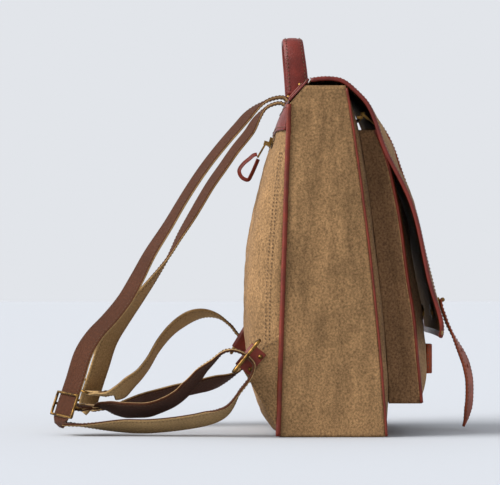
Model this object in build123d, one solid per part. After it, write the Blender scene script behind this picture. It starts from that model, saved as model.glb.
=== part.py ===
from build123d import *
import math
import os

# Canvas and leather satchel backpack, in millimetres.
# X is the width (wearer's left is -X), -Y is the flap side, +Y the wearer's back, +Z up.
# The origin is the middle of the base's underside.

os.makedirs("parts", exist_ok=True)

# ---------------------------------------------------------------- driving dimensions
bag_width = 300.0
bag_height = 394.0
base_depth = 120.0
mouth_front = 15.0            # front edge of the mouth, ahead of the origin
mouth_rear = 30.8             # rear edge of the mouth, behind the origin
seam_top_depth = 47.6         # rear seam's distance behind the origin at its top
seam_drop = 20.0              # rear seam's top is this far under the mouth
canvas = 2.4                  # outer canvas bonded to its backing
lining_wall = 0.8
gap = 0.3                     # room between neighbours that don't touch
piping_radius = 1.9
back_crown = 39.0             # how far the padded back stands out
back_flat = 90.0              # half-width of the flat middle of the padded back
front_crown = 10.0
front_flat = 110.0
pocket_inset = 22.0           # from the side of the bag to the pocket's gusset
pocket_floor = 36.0
pocket_top = 345.0
pocket_crown = 17.0
pocket_wall = 2.0
leather = 2.0
flap_overhang = 1.5           # flap is this much wider than the bag on each side
flap_shell = 1.5
flap_lining = 0.9
binding_width = 6.0
binding_wall = 4.0
strap_width = 35.0
strap_wall = 3.0
closure_width = 26.0
handle_width = 23.0
handle_wall = 5.0
handle_span = 100.0
handle_rise = 57.0
ring_wire = 2.0
ring_long = 45.0              # between the centre lines of the ring's short bars
ring_short = 24.0
hinge_clearance = 0.05
zip_tape = 1.2
zip_pitch = 3.2

half_width = bag_width / 2
foot = base_depth / 2
seam_top = bag_height - seam_drop
panel_half = half_width - canvas      # panels fit between the gussets
pocket_half = half_width - pocket_inset
flap_half = half_width + flap_overhang


# ---------------------------------------------------------------- seam lines
def rear_seam(z):
    return foot + (seam_top_depth - foot) * z / seam_top


def front_seam(z):
    t = z / bag_height
    return -(foot - (foot - mouth_front) * (0.58 * t + 0.42 * t * t))


def plateau(x, flat, half):
    over = max(0.0, abs(x) - flat)
    return 1 - (over / (half - flat)) ** 2.5


def back_surface(x, z):
    rise = math.sin(math.pi * min(1.0, z / seam_top) ** 0.8) ** 0.8 if 0 < z < seam_top else 0
    return rear_seam(z) + back_crown * rise * plateau(x, back_flat, half_width)


def front_surface(x, z):
    t = 2 * z / bag_height - 1
    return front_seam(z) - front_crown * (1 - t ** 6) * plateau(x, front_flat, half_width)


def lerp(a, b, t):
    return a + (b - a) * t


def interpolate(stations, value):
    for (a, *va), (b, *vb) in zip(stations, stations[1:]):
        if a <= value <= b:
            t = (value - a) / (b - a)
            return [lerp(p, q, t) for p, q in zip(va, vb)]
    return list(stations[-1][1:] if value > stations[-1][0] else stations[0][1:])


def steps(low, high, count):
    return [lerp(low, high, i / (count - 1)) for i in range(count)]


# ---------------------------------------------------------------- building blocks
def save(name, *solids):
    shape = solids[0] if len(solids) == 1 else Compound(children=list(solids))
    export_step(shape, f"parts/{name}.step")


def single(shape):
    found = shape.solids()
    return found[0] if len(found) == 1 else Compound(children=list(found))


def block(x0, x1, y0, y1, z0, z1):
    return single(Pos((x0 + x1) / 2, (y0 + y1) / 2, (z0 + z1) / 2) * Box(x1 - x0, y1 - y0, z1 - z0))


def side_profile(points, x0, x1):
    """A flat outline in the YZ plane, made solid from x0 to x1."""
    wire = Wire.make_polygon([Vector(x0, y, z) for y, z in points], close=True)
    return single(extrude(Face(wire), amount=x1 - x0, dir=(1, 0, 0)))


def surface_sheet(point, us, vs, direction, thickness):
    """A curved sheet: the surface through point(u, v), thickened along one direction."""
    rows = [[Vector(*point(u, v)) for v in vs] for u in us]
    face = Face.make_surface_from_array_of_points(rows)
    return single(extrude(face, amount=thickness, dir=direction))


def unit(v):
    return Vector(*v).normalized()


def ribbon(points, widths, width, wall):
    """A flat strap along points; widths are its width's directions, width one size or a list."""
    centres = [Vector(*p) for p in points]
    sizes = width if isinstance(width, list) else [width] * len(points)
    sections = []
    for i, centre in enumerate(centres):
        before = centres[max(0, i - 1)]
        after = centres[min(len(centres) - 1, i + 1)]
        along = (after - before).normalized()
        across = Vector(*widths[i])
        across = (across - along * across.dot(along)).normalized()
        normal = along.cross(across)
        w = across * (sizes[i] / 2)
        n = normal * (wall / 2)
        corners = [centre + w + n, centre - w + n, centre - w - n, centre + w - n]
        sections.append(Wire.make_polygon(corners, close=True))
    return Solid.make_loft(sections, ruled=True)


def tube(points, radius, bend):
    """A round bar or piping along points with rounded corners."""
    if len(points) > 2:
        path = FilletPolyline(*points, radius=bend)
    else:
        path = Line(*points)
    section = Plane(origin=path @ 0, z_dir=path % 0) * Circle(radius)
    return single(sweep(section, path=path))


def mirrored(shape):
    return mirror(shape, about=Plane.YZ)


# ---------------------------------------------------------------- body shell
def make_gussets():
    front = [(front_seam(z), z) for z in steps(bag_height, 0, 8)]
    rear = [(rear_seam(0), 0), (rear_seam(seam_top), seam_top), (mouth_rear, bag_height)]
    outline = front + rear
    save("side_gusset_left", side_profile(outline, -half_width, -panel_half))
    save("side_gusset_right", side_profile(outline, panel_half, half_width))


def make_base():
    save("base_panel", block(-panel_half, panel_half, -foot, foot, 0, canvas))
    board = 3.0
    slack = canvas + lining_wall + 2
    save("base_board", block(-panel_half + slack, panel_half - slack, -foot + slack, foot - slack,
                             canvas, canvas + board))


def column_stations(flat):
    outer = panel_half
    shoulder = (flat + outer) / 2
    return [-outer, -outer + 6, -shoulder, -flat, 0, flat, shoulder, outer - 6, outer]


def make_back():
    heights = steps(canvas, seam_top, 13)
    save("back_panel", surface_sheet(lambda x, z: (x, back_surface(x, z), z),
                                     column_stations(back_flat), heights, (0, -1, 0), canvas))
    # the board stands inside the rear seam, and the foam fills the room between it and the canvas
    board = 2.5
    top = seam_top - 6
    foot_z = canvas + 6
    board_line = [(rear_seam(foot_z) - canvas - gap, foot_z), (rear_seam(top) - canvas - gap, top)]
    board_line += [(y - board, z) for y, z in reversed(board_line)]
    reach = panel_half - lining_wall - gap
    save("back_board", side_profile(board_line, -reach, reach))
    foam_low = 26.0
    foam_high = seam_top - 40
    foam_half = (back_flat + half_width) / 2
    clear = canvas + gap
    outer = [(back_surface(foam_half, z) - clear, z) for z in steps(foam_low, foam_high, 7)]
    inner = [(rear_seam(z) - canvas - gap, z) for z in (foam_high, foam_low)]
    save("back_foam", side_profile(outer + inner, -foam_half, foam_half))


def make_front():
    heights = steps(canvas, bag_height - 2, 11)
    save("front_panel", surface_sheet(lambda x, z: (x, front_surface(x, z), z),
                                      column_stations(front_flat), heights, (0, 1, 0), canvas))


def make_lining():
    """Thin lining: front, rear, side and base sheets joined into one open bag."""
    floor = canvas + 3.0 + gap
    rim = seam_top - 8
    inset = canvas + lining_wall + 3.2
    front = [(front_seam(z) + canvas + gap, z) for z in steps(floor, rim, 6)]
    rear = [(rear_seam(z) - inset, z) for z in (rim, floor)]
    outer = side_profile(front + rear, -panel_half + gap, panel_half - gap)
    room_front = [(y + lining_wall, max(z, floor + lining_wall)) for y, z in front]
    room_front[-1] = (room_front[-1][0], rim + 5)
    room_rear = [(rear[0][0] - lining_wall, rim + 5), (rear[1][0] - lining_wall, floor + lining_wall)]
    wall = gap + lining_wall
    room = side_profile(room_front + room_rear, -panel_half + wall, panel_half - wall)
    save("lining", single(outer - room))
    return floor + lining_wall


def make_inside(floor):
    """Padded sleeve for a flat load at the rear, and a slip pocket on the front wall."""
    sleeve_wall = 4.0
    sleeve_depth = 16.0
    sleeve_top = bag_height * 0.66
    back = canvas + lining_wall * 2 + 3.2 + sleeve_depth
    half = panel_half - gap - lining_wall - gap
    low = floor + gap
    line = [(rear_seam(low) - back, low), (rear_seam(sleeve_top) - back, sleeve_top)]
    line += [(y - sleeve_wall, z) for y, z in reversed(line)]
    save("padded_sleeve", side_profile(line, -half, half))
    pocket_wall = 1.4
    low = bag_height * 0.42
    high = bag_height * 0.76
    offset = canvas + lining_wall + gap * 2
    face = [(front_seam(z) + offset, z) for z in steps(low, high, 4)]
    face += [(y + pocket_wall, z) for y, z in reversed(face)]
    save("slip_pocket", side_profile(face, -half * 0.55, half * 0.55))


def make_piping():
    """Leather piping outside the corner where each gusset meets a panel."""
    out = piping_radius * math.sqrt(0.5) + 0.1
    x = half_width + out
    low = 0.05
    rear = [(x, rear_seam(z) + out, z) for z in (low, seam_top)]
    front = [(x, front_seam(z) - out - 0.4, z) for z in (low, 0.27 * bag_height, 0.55 * bag_height,
                                                  0.8 * bag_height, seam_top)]
    for name, points in (("rear_piping", rear), ("front_piping", front)):
        bar = tube(points, piping_radius, 60)
        save(name, bar, mirrored(bar))


# ---------------------------------------------------------------- top band, yoke and handle
band_wall = 2.6
band_low = (seam_top_depth + 1.2, seam_top + 1.4)
hinge_y = 24.6
band_high = (hinge_y + 1.2, bag_height + 5.4)
band_run = Vector(0, band_high[0] - band_low[0], band_high[1] - band_low[1])
band_along = band_run.normalized()
band_out = Vector(0, -band_along.Z, band_along.Y) * -1
if band_out.Z < 0:
    band_out = band_out * -1


def on_band(x, share, lift):
    p = Vector(x, *band_low) + band_run * share + band_out * lift
    return (p.X, p.Y, p.Z)


def make_top_band():
    corners = [on_band(0, 0, 0), on_band(0, 1, 0), on_band(0, 1, band_wall), on_band(0, 0, band_wall)]
    save("top_band", side_profile([(y, z) for _, y, z in corners], -flap_half, flap_half))


def make_yoke():
    low = seam_top - 30
    high = seam_top - 1
    half = panel_half - 1.6
    xs = [-half, -half + 5, -(back_flat + half) / 2, -back_flat, -back_flat / 2, 0]
    xs += [-x for x in reversed(xs[:-1])]
    save("back_yoke", surface_sheet(lambda x, z: (x, back_surface(x, z) + gap, z), xs,
                                    steps(low, high, 5), (0, 1, 0), leather))


anchor_lift = band_wall + leather
handle_cut = anchor_lift + 3.4          # the feet stop this far off the slope, so the handle can lean


def make_handle():
    """Arched leather handle, wide along the slope; it leans about its feet."""
    foot_x = handle_span / 2
    shoulder_x = foot_x * 0.66
    foot_y = 33.4
    bend_y = 39.0
    top_y = 41.8
    low = bag_height - 12
    bend = bag_height + 40
    top = bag_height + handle_rise
    path = FilletPolyline((-foot_x, foot_y, low), (-foot_x + 3, bend_y, bend), (-shoulder_x, top_y, top),
                          (shoulder_x, top_y, top), (foot_x - 3, bend_y, bend), (foot_x, foot_y, low),
                          radius=14)
    count = 24
    points = [tuple(path @ (i / (count - 1))) for i in range(count)]
    arch = ribbon(points, [(0, 1, 0)] * count, handle_width, handle_wall)
    below = [on_band(0, share, lift)[1:] for share, lift in ((-2, handle_cut), (3, handle_cut),
                                                             (3, -40), (-2, -40))]
    save("handle", single(arch - side_profile(below, -foot_x * 1.5, foot_x * 1.5)))
    patches = []
    patch_half = 11.0
    corners = [on_band(0, 0.1, band_wall), on_band(0, 0.9, band_wall),
               on_band(0, 0.9, anchor_lift), on_band(0, 0.1, anchor_lift)]
    outline = [corner[1:] for corner in corners]
    for side in (-1, 1):
        patches.append(side_profile(outline, side * foot_x - patch_half, side * foot_x + patch_half))
    save("handle_anchors", *patches)


# ---------------------------------------------------------------- front pocket
pocket_edge_line = [(pocket_floor, -100.5), (60, -98.5), (85, -96), (133, -91.5), (180, -84),
                    (243, -75.7), (297, -65), (325, -56.5), (pocket_top, -48)]
pocket_bulge = [(pocket_floor, 0.25), (60, 0.85), (85, 1.0), (133, 0.93), (180, 0.88), (243, 0.75),
                (297, 0.5), (325, 0.3), (pocket_top, 0.15)]


def pocket_edge(z):
    return interpolate(pocket_edge_line, z)[0]


def pocket_surface(x, z):
    across = 1 - (abs(x) / pocket_half) ** 2.6
    return pocket_edge(z) - pocket_crown * interpolate(pocket_bulge, z)[0] * across


def make_pocket():
    wall = pocket_wall
    shares = (0, 0.026, 0.058, 0.104, 0.159, 0.24, 0.314, 0.385, 0.466, 0.563, 0.67, 0.757, 0.845, 0.935, 1)
    heights = [lerp(pocket_floor, pocket_top, share) for share in shares]
    xs = [-pocket_half, -pocket_half * 0.85, -pocket_half * 0.6, -pocket_half * 0.3, 0,
          pocket_half * 0.3, pocket_half * 0.6, pocket_half * 0.85, pocket_half]
    save("pocket_front", surface_sheet(lambda x, z: (x, pocket_surface(x, z), z), xs, heights,
                                       (0, 1, 0), wall))
    inner_half = pocket_half - wall
    ease = 1.0
    marks = steps(pocket_floor, pocket_top, 9)
    rear = [(front_surface(pocket_half, z) - ease, z) for z in marks]
    front = [(pocket_edge(z) + wall + ease, z) for z in reversed(marks)]
    side = side_profile(rear + front, inner_half, pocket_half)
    save("pocket_gusset_right", side)
    save("pocket_gusset_left", mirrored(side))
    low = pocket_floor
    floor_line = [(front_surface(0, low) - gap - 0.3, low), (pocket_edge(low) + wall + gap, low)]
    floor_line += [(y, z + wall) for y, z in reversed(floor_line)]
    save("pocket_floor", side_profile(floor_line, -inner_half + gap, inner_half - gap))
    out = piping_radius * math.sqrt(0.5) + 0.2
    x = pocket_half + out
    levels = (pocket_floor + 1, 85, 150, 243, 297, 325, pocket_top)
    trace = [(x, pocket_edge(z) - out * 1.2, z) for z in levels]
    bar = tube(trace, piping_radius * 0.85, 40)
    save("pocket_piping", bar, mirrored(bar))


def make_pocket_zip():
    """Open zip along the pocket's mouth: one tape on the bag, one on the pocket front."""
    half = pocket_half - 8
    level = pocket_top + 12
    bag_side = front_surface(0, level) - 1.2
    mouth = pocket_top - 1
    pocket_side = pocket_edge(mouth) + pocket_wall + gap
    tape = 3.2
    rear = block(-half, half, bag_side - tape, bag_side, level - zip_tape, level)
    front = block(-half, half, pocket_side, pocket_side + tape * 0.7, mouth - zip_tape, mouth)
    save("pocket_zip_tapes", rear, front)
    teeth = []
    tooth = 1.2
    edge = bag_side - tape - tooth
    count = int(2 * half / (zip_pitch * 2))
    for i in range(count):
        x = -half + zip_pitch * (2 * i + 1)
        teeth.append(block(x, x + zip_pitch / 2, edge, edge + tooth, level - zip_tape, level))
    save("pocket_zip_teeth", *teeth)
    return edge, level


def make_pocket_zip_pull(edge, z):
    """Slider on the bag-side teeth near the wearer's left end, with its metal pull tab."""
    x = -pocket_half + 16
    body_low = z + 0.35
    slider = block(x - 6, x + 6, edge - 2.0, edge + 4.5, body_low, body_low + 3.2)
    bridge_z = body_low + 3.2
    bridge = block(x - 1.6, x + 1.6, edge - 4.0, edge + 0.8, bridge_z, bridge_z + 4.6)
    hole = Pos(x, edge - 1.7, bridge_z + 2.4) * Rot(0, 90, 0) * Cylinder(1.25, 10)
    save("pocket_zip_slider", single(slider + bridge - hole))
    pin_y = edge - 1.7
    pin_z = bridge_z + 2.4
    down = unit((0, -0.72, -0.60))
    pin = Pos(x, pin_y, pin_z) * Rot(0, 90, 0) * Cylinder(1.2, 7.0)
    sides = []
    for offset in (-3.0, 3.0):
        start = Vector(x + offset, pin_y, pin_z)
        points = [start + down * -1.2, start + down * 9.0]
        sides.append(ribbon([(p.X, p.Y, p.Z) for p in points], [(1, 0, 0)] * 2, 1.6, 2.4))
    start = Vector(x, pin_y, pin_z) + down * 6.0
    end = start + down * 12.0
    tab = ribbon([(start.X, start.Y, start.Z), (end.X, end.Y, end.Z)], [(1, 0, 0)] * 2, 7.6, 1.6)
    save("pocket_zip_pull", single(pin + sides[0] + sides[1] + tab))


def make_pocket_fittings():
    """Leather keeper and the lower half of the magnetic snap, on the pocket's middle."""
    keeper_low = 66.0
    keeper_high = 100.0
    wide = 32.0
    face = min(pocket_surface(0, z) for z in steps(keeper_low, keeper_high, 6)) - 0.8
    back_layer = 1.0
    room = 4.4
    front = face - back_layer - room
    loop = block(-wide / 2, wide / 2, front - leather, face, keeper_low, keeper_high)
    inside = closure_width / 2 + 1
    tunnel = block(-inside, inside, front, face - back_layer, keeper_low - 1, keeper_high + 1)
    save("strap_keeper", single(loop - tunnel))
    z = 137.0
    y = pocket_surface(0, z - 9) - gap
    cup = Pos(0, y - 1.6, z) * Rot(90, 0, 0) * Cylinder(9, 2.2)
    boss = Pos(0, y - 3.4, z) * Rot(90, 0, 0) * Cylinder(5, 1.4)
    save("snap_socket", single(cup + boss))


# ---------------------------------------------------------------- flap
# stations along the flap: edge (Y, Z), then middle (Y, Z); the first and the fourth are hinge lines
flap_top_line = [(hinge_y, bag_height + 6.6), (8.0, bag_height + 9.0), (-12.0, bag_height + 7.0),
                 (-21.4, bag_height + 0.4)]
flap_top_inward = [(0, -1), (0, -1), (0.4, -0.92), (0.88, -0.47)]
flap_front_line = [(-25.6, 389.9, -25.6, 389.9), (-40, 375, -43, 375), (-49, 353, -59, 354),
                   (-55, 331.5, -72, 332), (-66, 308, -81, 306), (-80, 282, -90.5, 280),
                   (-97, 234, -104.5, 232), (-106, 189, -115, 187), (-117, 149, -124, 149),
                   (-124.3, 111, -128, 112)]
flap_inward = unit((0, 0.88, -0.47))
stud_out = unit((0, -0.97, 0.23))


def flap_point(x, station):
    i = min(int(station), len(flap_front_line) - 2)
    row = [lerp(p, q, station - i) for p, q in zip(flap_front_line[i], flap_front_line[i + 1])]
    share = 1 - (abs(x) / flap_half) ** 2.4
    rise = bag_height - 394.0
    return (x, lerp(row[0], row[2], share), lerp(row[1], row[3], share) + rise)


def flap_sheet(x_values, stations, offset, wall):
    shift = flap_inward * offset

    def point(x, station):
        p = flap_point(x, station)
        return (p[0], p[1] + shift.Y, p[2] + shift.Z)

    return surface_sheet(point, x_values, stations, flap_inward, wall)


def flap_top_layer(start, end):
    """Outline of one layer of the flap's top, between two depths under its outer surface."""
    outer = [(y + dy * start, z + dz * start) for (y, z), (dy, dz) in zip(flap_top_line, flap_top_inward)]
    inner = [(y + dy * end, z + dz * end) for (y, z), (dy, dz) in zip(flap_top_line, flap_top_inward)]
    return outer + inner[::-1]


def make_flap():
    inner_half = flap_half - binding_width
    save("flap_top_canvas", side_profile(flap_top_layer(0, flap_shell), -inner_half, inner_half))
    lining_outline = flap_top_layer(flap_shell, flap_shell + flap_lining)
    save("flap_top_lining", side_profile(lining_outline, -inner_half, inner_half))
    strip = side_profile(flap_top_layer(-0.6, binding_wall - 0.6), inner_half, flap_half)
    save("flap_top_binding", strip, mirrored(strip))

    last = len(flap_front_line) - 1
    end = last - 0.17
    along = [0, 0.5, 1, 1.5, 2, 3, 4, 5, 6, 7, 8, end]
    xs = [inner_half * s for s in (-1, -0.85, -0.6, -0.3, 0, 0.3, 0.6, 0.85, 1)]
    save("flap_front_canvas", flap_sheet(xs, along, 0, flap_shell))
    save("flap_front_lining", flap_sheet(xs, along, flap_shell + 0.12, flap_lining))
    edge_xs = [inner_half + 0.1, (inner_half + flap_half) / 2, flap_half]
    edge_along = [0, 0.5, 1, 1.5, 2, 3, 4, 5, 6, 7, 8, last]
    side = flap_sheet(edge_xs, edge_along, -0.6, binding_wall)
    bottom = flap_sheet(xs, [end + 0.02, (end + last) / 2, last], -0.6, binding_wall)
    save("flap_front_binding", side, mirrored(side), bottom)
    strap_xs = [-closure_width / 2, 0, closure_width / 2]
    strap = flap_sheet(strap_xs, [1.4, 2, 3, 4, 5, 6, 7, 8, 8.35], -3.5, 2.6)
    save("centre_strap", strap)


def make_stud():
    """Brass stud on the centre strap, and the snap's upper half inside the flap."""
    x, y, z = flap_point(0, 8)
    seat = Vector(x, y, z) + stud_out * 3.6
    out = stud_out
    turn = Plane(origin=seat, z_dir=out)
    base = turn * Pos(0, 0, 1.4) * Cylinder(3.9, 2.8)
    neck = turn * Pos(0, 0, 4.0) * Cylinder(1.9, 2.8)
    ball = turn * Pos(0, 0, 6.4) * Sphere(2.6)
    save("closure_stud", single(base + neck + ball))
    facing = unit((0, 0.985, -0.17))
    inner = Vector(*flap_point(0, 8.3)) + facing * (flap_shell + flap_lining + 1.0)
    disc = Plane(origin=inner, z_dir=facing)
    plate = disc * Pos(0, 0, 0.9) * Cylinder(9, 1.8)
    nose = disc * Pos(0, 0, 2.3) * Cylinder(4.2, 1.0)
    save("snap_cap", single(plate + nose))
    return seat


def make_tail(seat):
    """Pointed leather tail hanging from the stud, to just over the floor."""
    rise = bag_height - 394.0
    hang = seat + stud_out * 4.2
    path = [(0, hang.Y - 0.6, hang.Z - 7.5), (0, -139.6, 122 + rise), (0, -150, 101 + rise),
            (0, -159.6, 81 + rise), (0, -164.4, 63 + rise), (0, -165.4, 46 + rise),
            (0, -164.4, 29 + rise), (0, -161.3, 14 + rise), (0, -157.8, 3.4 + rise)]
    across = [(1, 0, 0)] * len(path)
    body = ribbon(path, across, closure_width - 2, 2.8)
    tip = 2.6 + rise
    cut = [(-closure_width, tip - 1), (-2.2, tip - 1), (-closure_width / 2, tip + 20)]
    for side in (-1, 1):
        outline = [Vector(side * -x, -200, z) for x, z in cut]
        wedge = extrude(Face(Wire.make_polygon(outline, close=True)), amount=100, dir=(0, 1, 0))
        body = body - wedge
    save("strap_tail", single(body))


# ---------------------------------------------------------------- zip across the back
back_zip_z = 331.0
back_zip_half = 92.0


def make_back_zip():
    """Zip tape, teeth and slider on the slope of the padded back, with a leather pull."""
    rise = 7.0
    low = Vector(0, back_surface(0, back_zip_z - rise), back_zip_z - rise)
    high = Vector(0, back_surface(0, back_zip_z + rise), back_zip_z + rise)
    up = (high - low).normalized()
    out = Vector(1, 0, 0).cross(up)
    if out.Y < 0:
        out = out * -1
    seat = (low + high) * 0.5 + out * 0.9
    frame = Plane(origin=seat, x_dir=(1, 0, 0), z_dir=out)
    if frame.y_dir.Z < 0:
        frame = Plane(origin=seat, x_dir=(-1, 0, 0), z_dir=out)
    tape = Box(2 * back_zip_half, 2 * rise, zip_tape)
    save("back_zip_tape", single(frame * Pos(0, 0, zip_tape / 2) * tape))
    teeth = []
    pitch = zip_pitch * 1.5
    count = int(2 * (back_zip_half - 4) / pitch)
    teeth_top = zip_tape + 1.0
    for i in range(count):
        x = -back_zip_half + 5 + pitch * i
        teeth.append(single(frame * Pos(x, 0, zip_tape + 0.5) * Box(2.2, 4, 1.0)))
    save("back_zip_teeth", *teeth)
    x = -70.0 * frame.x_dir.X
    body_low = teeth_top + gap
    body = frame * Pos(x, 0, body_low + 1.6) * Box(14, 11, 3.2)
    bridge_low = body_low + 3.2
    bridge = frame * Pos(x, -2.5, bridge_low + 2.6) * Box(3.4, 5, 5.2)
    eye = frame * Pos(x, -2.5, bridge_low + 2.8) * Rot(0, 90, 0)
    save("back_zip_slider", single(body + bridge - eye * Cylinder(1.25, 10)))
    pin_at = (eye * Pos(0, 0, 0)).position
    pin = eye * Cylinder(1.2, 8.0)
    drop = unit((0, 0.50, -0.87))
    bars = []
    for offset in (-3.2, 3.2):
        a = pin_at + Vector(offset, 0, 0) + drop * -1.2
        b = pin_at + Vector(offset, 0, 0) + drop * 18.0
        bars.append(ribbon([tuple(a), tuple(b)], [(1, 0, 0)] * 2, 1.7, 2.2))
    foot_bar = pin_at + drop * 18.0
    bar = Pos(*foot_bar) * Rot(0, 90, 0) * Cylinder(1.2, 8.0)
    save("back_zip_tab", single(pin + bars[0] + bars[1] + bar))
    # leather strip folded round the tab's foot bar into a loop
    loop = [(1.0, 2.6), (9, -3), (17, -9), (22, -17), (18.5, -24.5), (11.5, -28), (7.5, -21.5),
            (3.6, -12.5), (-0.5, -4.2)]
    points = [(foot_bar.X, foot_bar.Y + dy, foot_bar.Z + dz) for dy, dz in loop]
    save("back_zip_leather", ribbon(points, [(1, 0, 0)] * len(points), 4.2, 1.6))


# ---------------------------------------------------------------- ring anchors and rings
# each side: bar centre (Y, Z) and the bar's direction (Y, Z)
ring_seats = {"left": (-1, (96.5, 91.0), (0.634, -0.774)), "right": (1, (99.0, 104.0), (0.52, -0.854))}
fin_wall = 2.6


def ring_frame(side):
    sign, (y, z), (dy, dz) = ring_seats[side]
    along = unit((0, dy, dz))
    out = unit((0, -dz, dy))
    x = sign * (half_width - fin_wall / 2)
    return sign, Vector(x, y, z), along, out


def make_anchor(side):
    sign, centre, along, out = ring_frame(side)
    half = 15.0
    roll = ring_wire + hinge_clearance + leather
    edge = centre + out * -(roll + 4.0)
    a = edge + along * -half
    b = edge + along * half
    start = rear_seam(114) + piping_radius * 2 + 1.2
    low = rear_seam(12) + piping_radius * 2 + 1.2
    outline = [(start, 114), (a.Y, a.Z), (b.Y, b.Z), (low, 12)]
    inner = sign * (half_width - fin_wall)
    outer = sign * half_width
    save(f"anchor_triangle_{side}", side_profile(outline, min(inner, outer), max(inner, outer)))
    bar = Plane(origin=centre, z_dir=along)
    tunnel = bar * Cylinder(ring_wire + hinge_clearance, 3 * half)
    sleeve = bar * Cylinder(roll, 2 * half)
    tongue_start = centre + out * -1.0
    tongue_end = edge + out * 0.05
    tongue = ribbon([tuple(tongue_start), tuple(tongue_end)], [tuple(along)] * 2, 2 * half, fin_wall)
    save(f"ring_tab_{side}", single(sleeve + tongue - tunnel))


def make_ring(side):
    sign, centre, along, out = ring_frame(side)
    away = Vector(sign, 0, 0)
    near = centre
    far = centre + away * ring_short
    half = ring_long / 2
    corners = [near - along * half, near + along * half, far + along * half, far - along * half]
    points = [near, corners[1], corners[2], corners[3], corners[0], near - along * 0.02]
    runs = FilletPolyline(*[tuple(p) for p in points], radius=5)
    section = Plane(origin=runs @ 0, z_dir=runs % 0) * Circle(ring_wire)
    hoop = sweep(section, path=runs)
    plug = Plane(origin=near - along * 0.01, z_dir=along) * Cylinder(ring_wire, 0.4)
    save(f"ring_{side}", single(hoop + plug))


# ---------------------------------------------------------------- shoulder straps
# centre lines chosen by hand; the straps lie slack behind the bag
upper_lines = {
    "left": [(-48, 60.5, 384.8), (-51, 71, 380.5), (-55, 86.5, 370.5), (-59, 106, 349), (-63, 126.5, 325),
             (-66, 146, 299.5), (-70, 165.5, 269.8), (-74, 185, 237), (-78, 205, 205.5), (-82, 220, 177),
             (-86, 233.5, 153), (-90, 250, 132), (-94, 267.5, 113), (-97.2, 280.5, 92), (-101, 290, 62),
             (-106.2, 303, 21)],
    "right": [(48, 59.5, 382), (51, 69, 377.5), (55, 79.5, 365), (59, 91, 347), (63, 107, 327),
              (66, 121, 307), (70, 137, 284), (74, 156, 252), (78, 172.5, 225), (82, 187, 199),
              (86, 206, 172), (90, 224, 148.5), (94, 243, 123), (97.2, 258, 99), (101, 268, 69),
              (106.2, 281, 28)],
}
lower_lines = {
    "left": [(-108, 296, 12), (-110, 284, 11.2), (-113, 264, 10.5), (-116, 235, 10.6), (-120, 204, 10.6),
             (-126, 166, 14.8), (-134, 137, 21.5), (-147, 118, 33.5), (-159, 104, 51), (-161, 93.5, 68),
             (-161, 88.5, 79)],
    "right": [(108, 273, 17.5), (110, 258, 20.5), (113, 244, 23.5), (116, 226, 28), (119, 204, 33.5),
              (124, 178, 40), (130, 160, 43), (138, 142, 47), (151, 122, 51), (160, 105, 60),
              (163, 92, 74), (162, 86.5, 86)],
}
return_lines = {
    "left": [(-161, 91.5, 87.0), (-162, 100, 93.8), (-162, 111, 97.5), (-159, 122, 95.5), (-152, 133, 87),
             (-143, 146, 75), (-134, 158, 60.5), (-126, 171, 46.5), (-121, 186, 36.5), (-118, 206, 29.5),
             (-108, 228, 28.2), (-95, 248, 29), (-86, 262, 30.2), (-84.5, 272.2, 31),
             (-89.8, 279.4, 31.1)],
    "right": [(161, 97.0, 96.5), (162, 103, 107), (162, 112, 118), (157, 126, 127.5), (148, 145, 131),
              (139, 164, 126.5), (131, 182, 114), (125, 198, 95), (115, 211, 73), (102, 224, 57),
              (90, 238, 45), (84.5, 250.2, 38.8), (89.8, 257.4, 38.1)],
}
# the last 60 mm and more of each upper strap is straight; the slide adjuster sits on it
slide_share = {"left": 0.70, "right": 0.70}


def strap_widths(count, marks):
    """Width directions at count points, blended between (index, direction) marks."""
    return [interpolate([(i, *v) for i, v in marks], k) for k in range(count)]


ring_gather = 15.0              # the strap's width where it's gathered inside the ring
gather_keep = 16.0              # it stays this narrow for this far from the ring
gather_run = 34.0               # and widens again over this length


def gathered(points, end):
    """The strap's width at each point, narrow near the end that passes through the ring."""
    stop = Vector(*end)
    sizes = []
    for p in points:
        share = ((Vector(*p) - stop).length - gather_keep) / gather_run
        sizes.append(lerp(ring_gather, strap_width, min(1.0, max(0.0, share))))
    return sizes


def slide_frame(side):
    sign = ring_seats[side][0]
    line = upper_lines[side]
    top, end = Vector(*line[-2]), Vector(*line[-1])
    along = (end - top).normalized()
    across = Vector(sign * -0.80, 0.5, 0.3)
    across = (across - along * across.dot(along)).normalized()
    front = along.cross(across)
    if front.Y > 0:
        front = front * -1
    return top + (end - top) * slide_share[side], along, across, front


def make_strap(side):
    sign = ring_seats[side][0]
    rise = bag_height - 394.0
    _, _, slide_across, _ = slide_frame(side)
    upper = upper_lines[side]
    across = [(1, 0, 0)] * 3
    blend = len(upper) - 3
    for i in range(1, blend + 1):
        t = min(1.0, i / (blend - 2))
        start = Vector(1, 0, 0)
        goal = slide_across if slide_across.X > 0 else slide_across * -1
        v = start * (1 - t) + goal * t
        across.append((v.X, v.Y, v.Z))
    ends = [(x, y, z + rise * max(0.0, (z - 100) / 285)) for x, y, z in upper]
    save(f"shoulder_strap_{side}", ribbon(ends, across, strap_width, strap_wall))
    low = lower_lines[side]
    flat = (sign * 0.97, 0.0, 0.0)
    tilt = (sign * 0.88, 0, sign * -0.45)
    last = len(low) - 1
    marks = [(0, flat), (3, tilt), (last - 4, tilt), (last - 2, flat), (last, flat)]
    turns = strap_widths(len(low), marks)
    save(f"lower_strap_{side}", ribbon(low, turns, gathered(low, low[-1]), strap_wall))
    back = return_lines[side]
    goal = slide_across if slide_across.X * sign > 0 else slide_across * -1
    last = len(back) - 1
    marks = [(0, flat), (2, flat), (5, tilt), (last - 3, tilt), (last, tuple(goal))]
    turns = strap_widths(len(back), marks)
    save(f"return_strap_{side}", ribbon(back, turns, gathered(back, back[0]), strap_wall))


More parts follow.
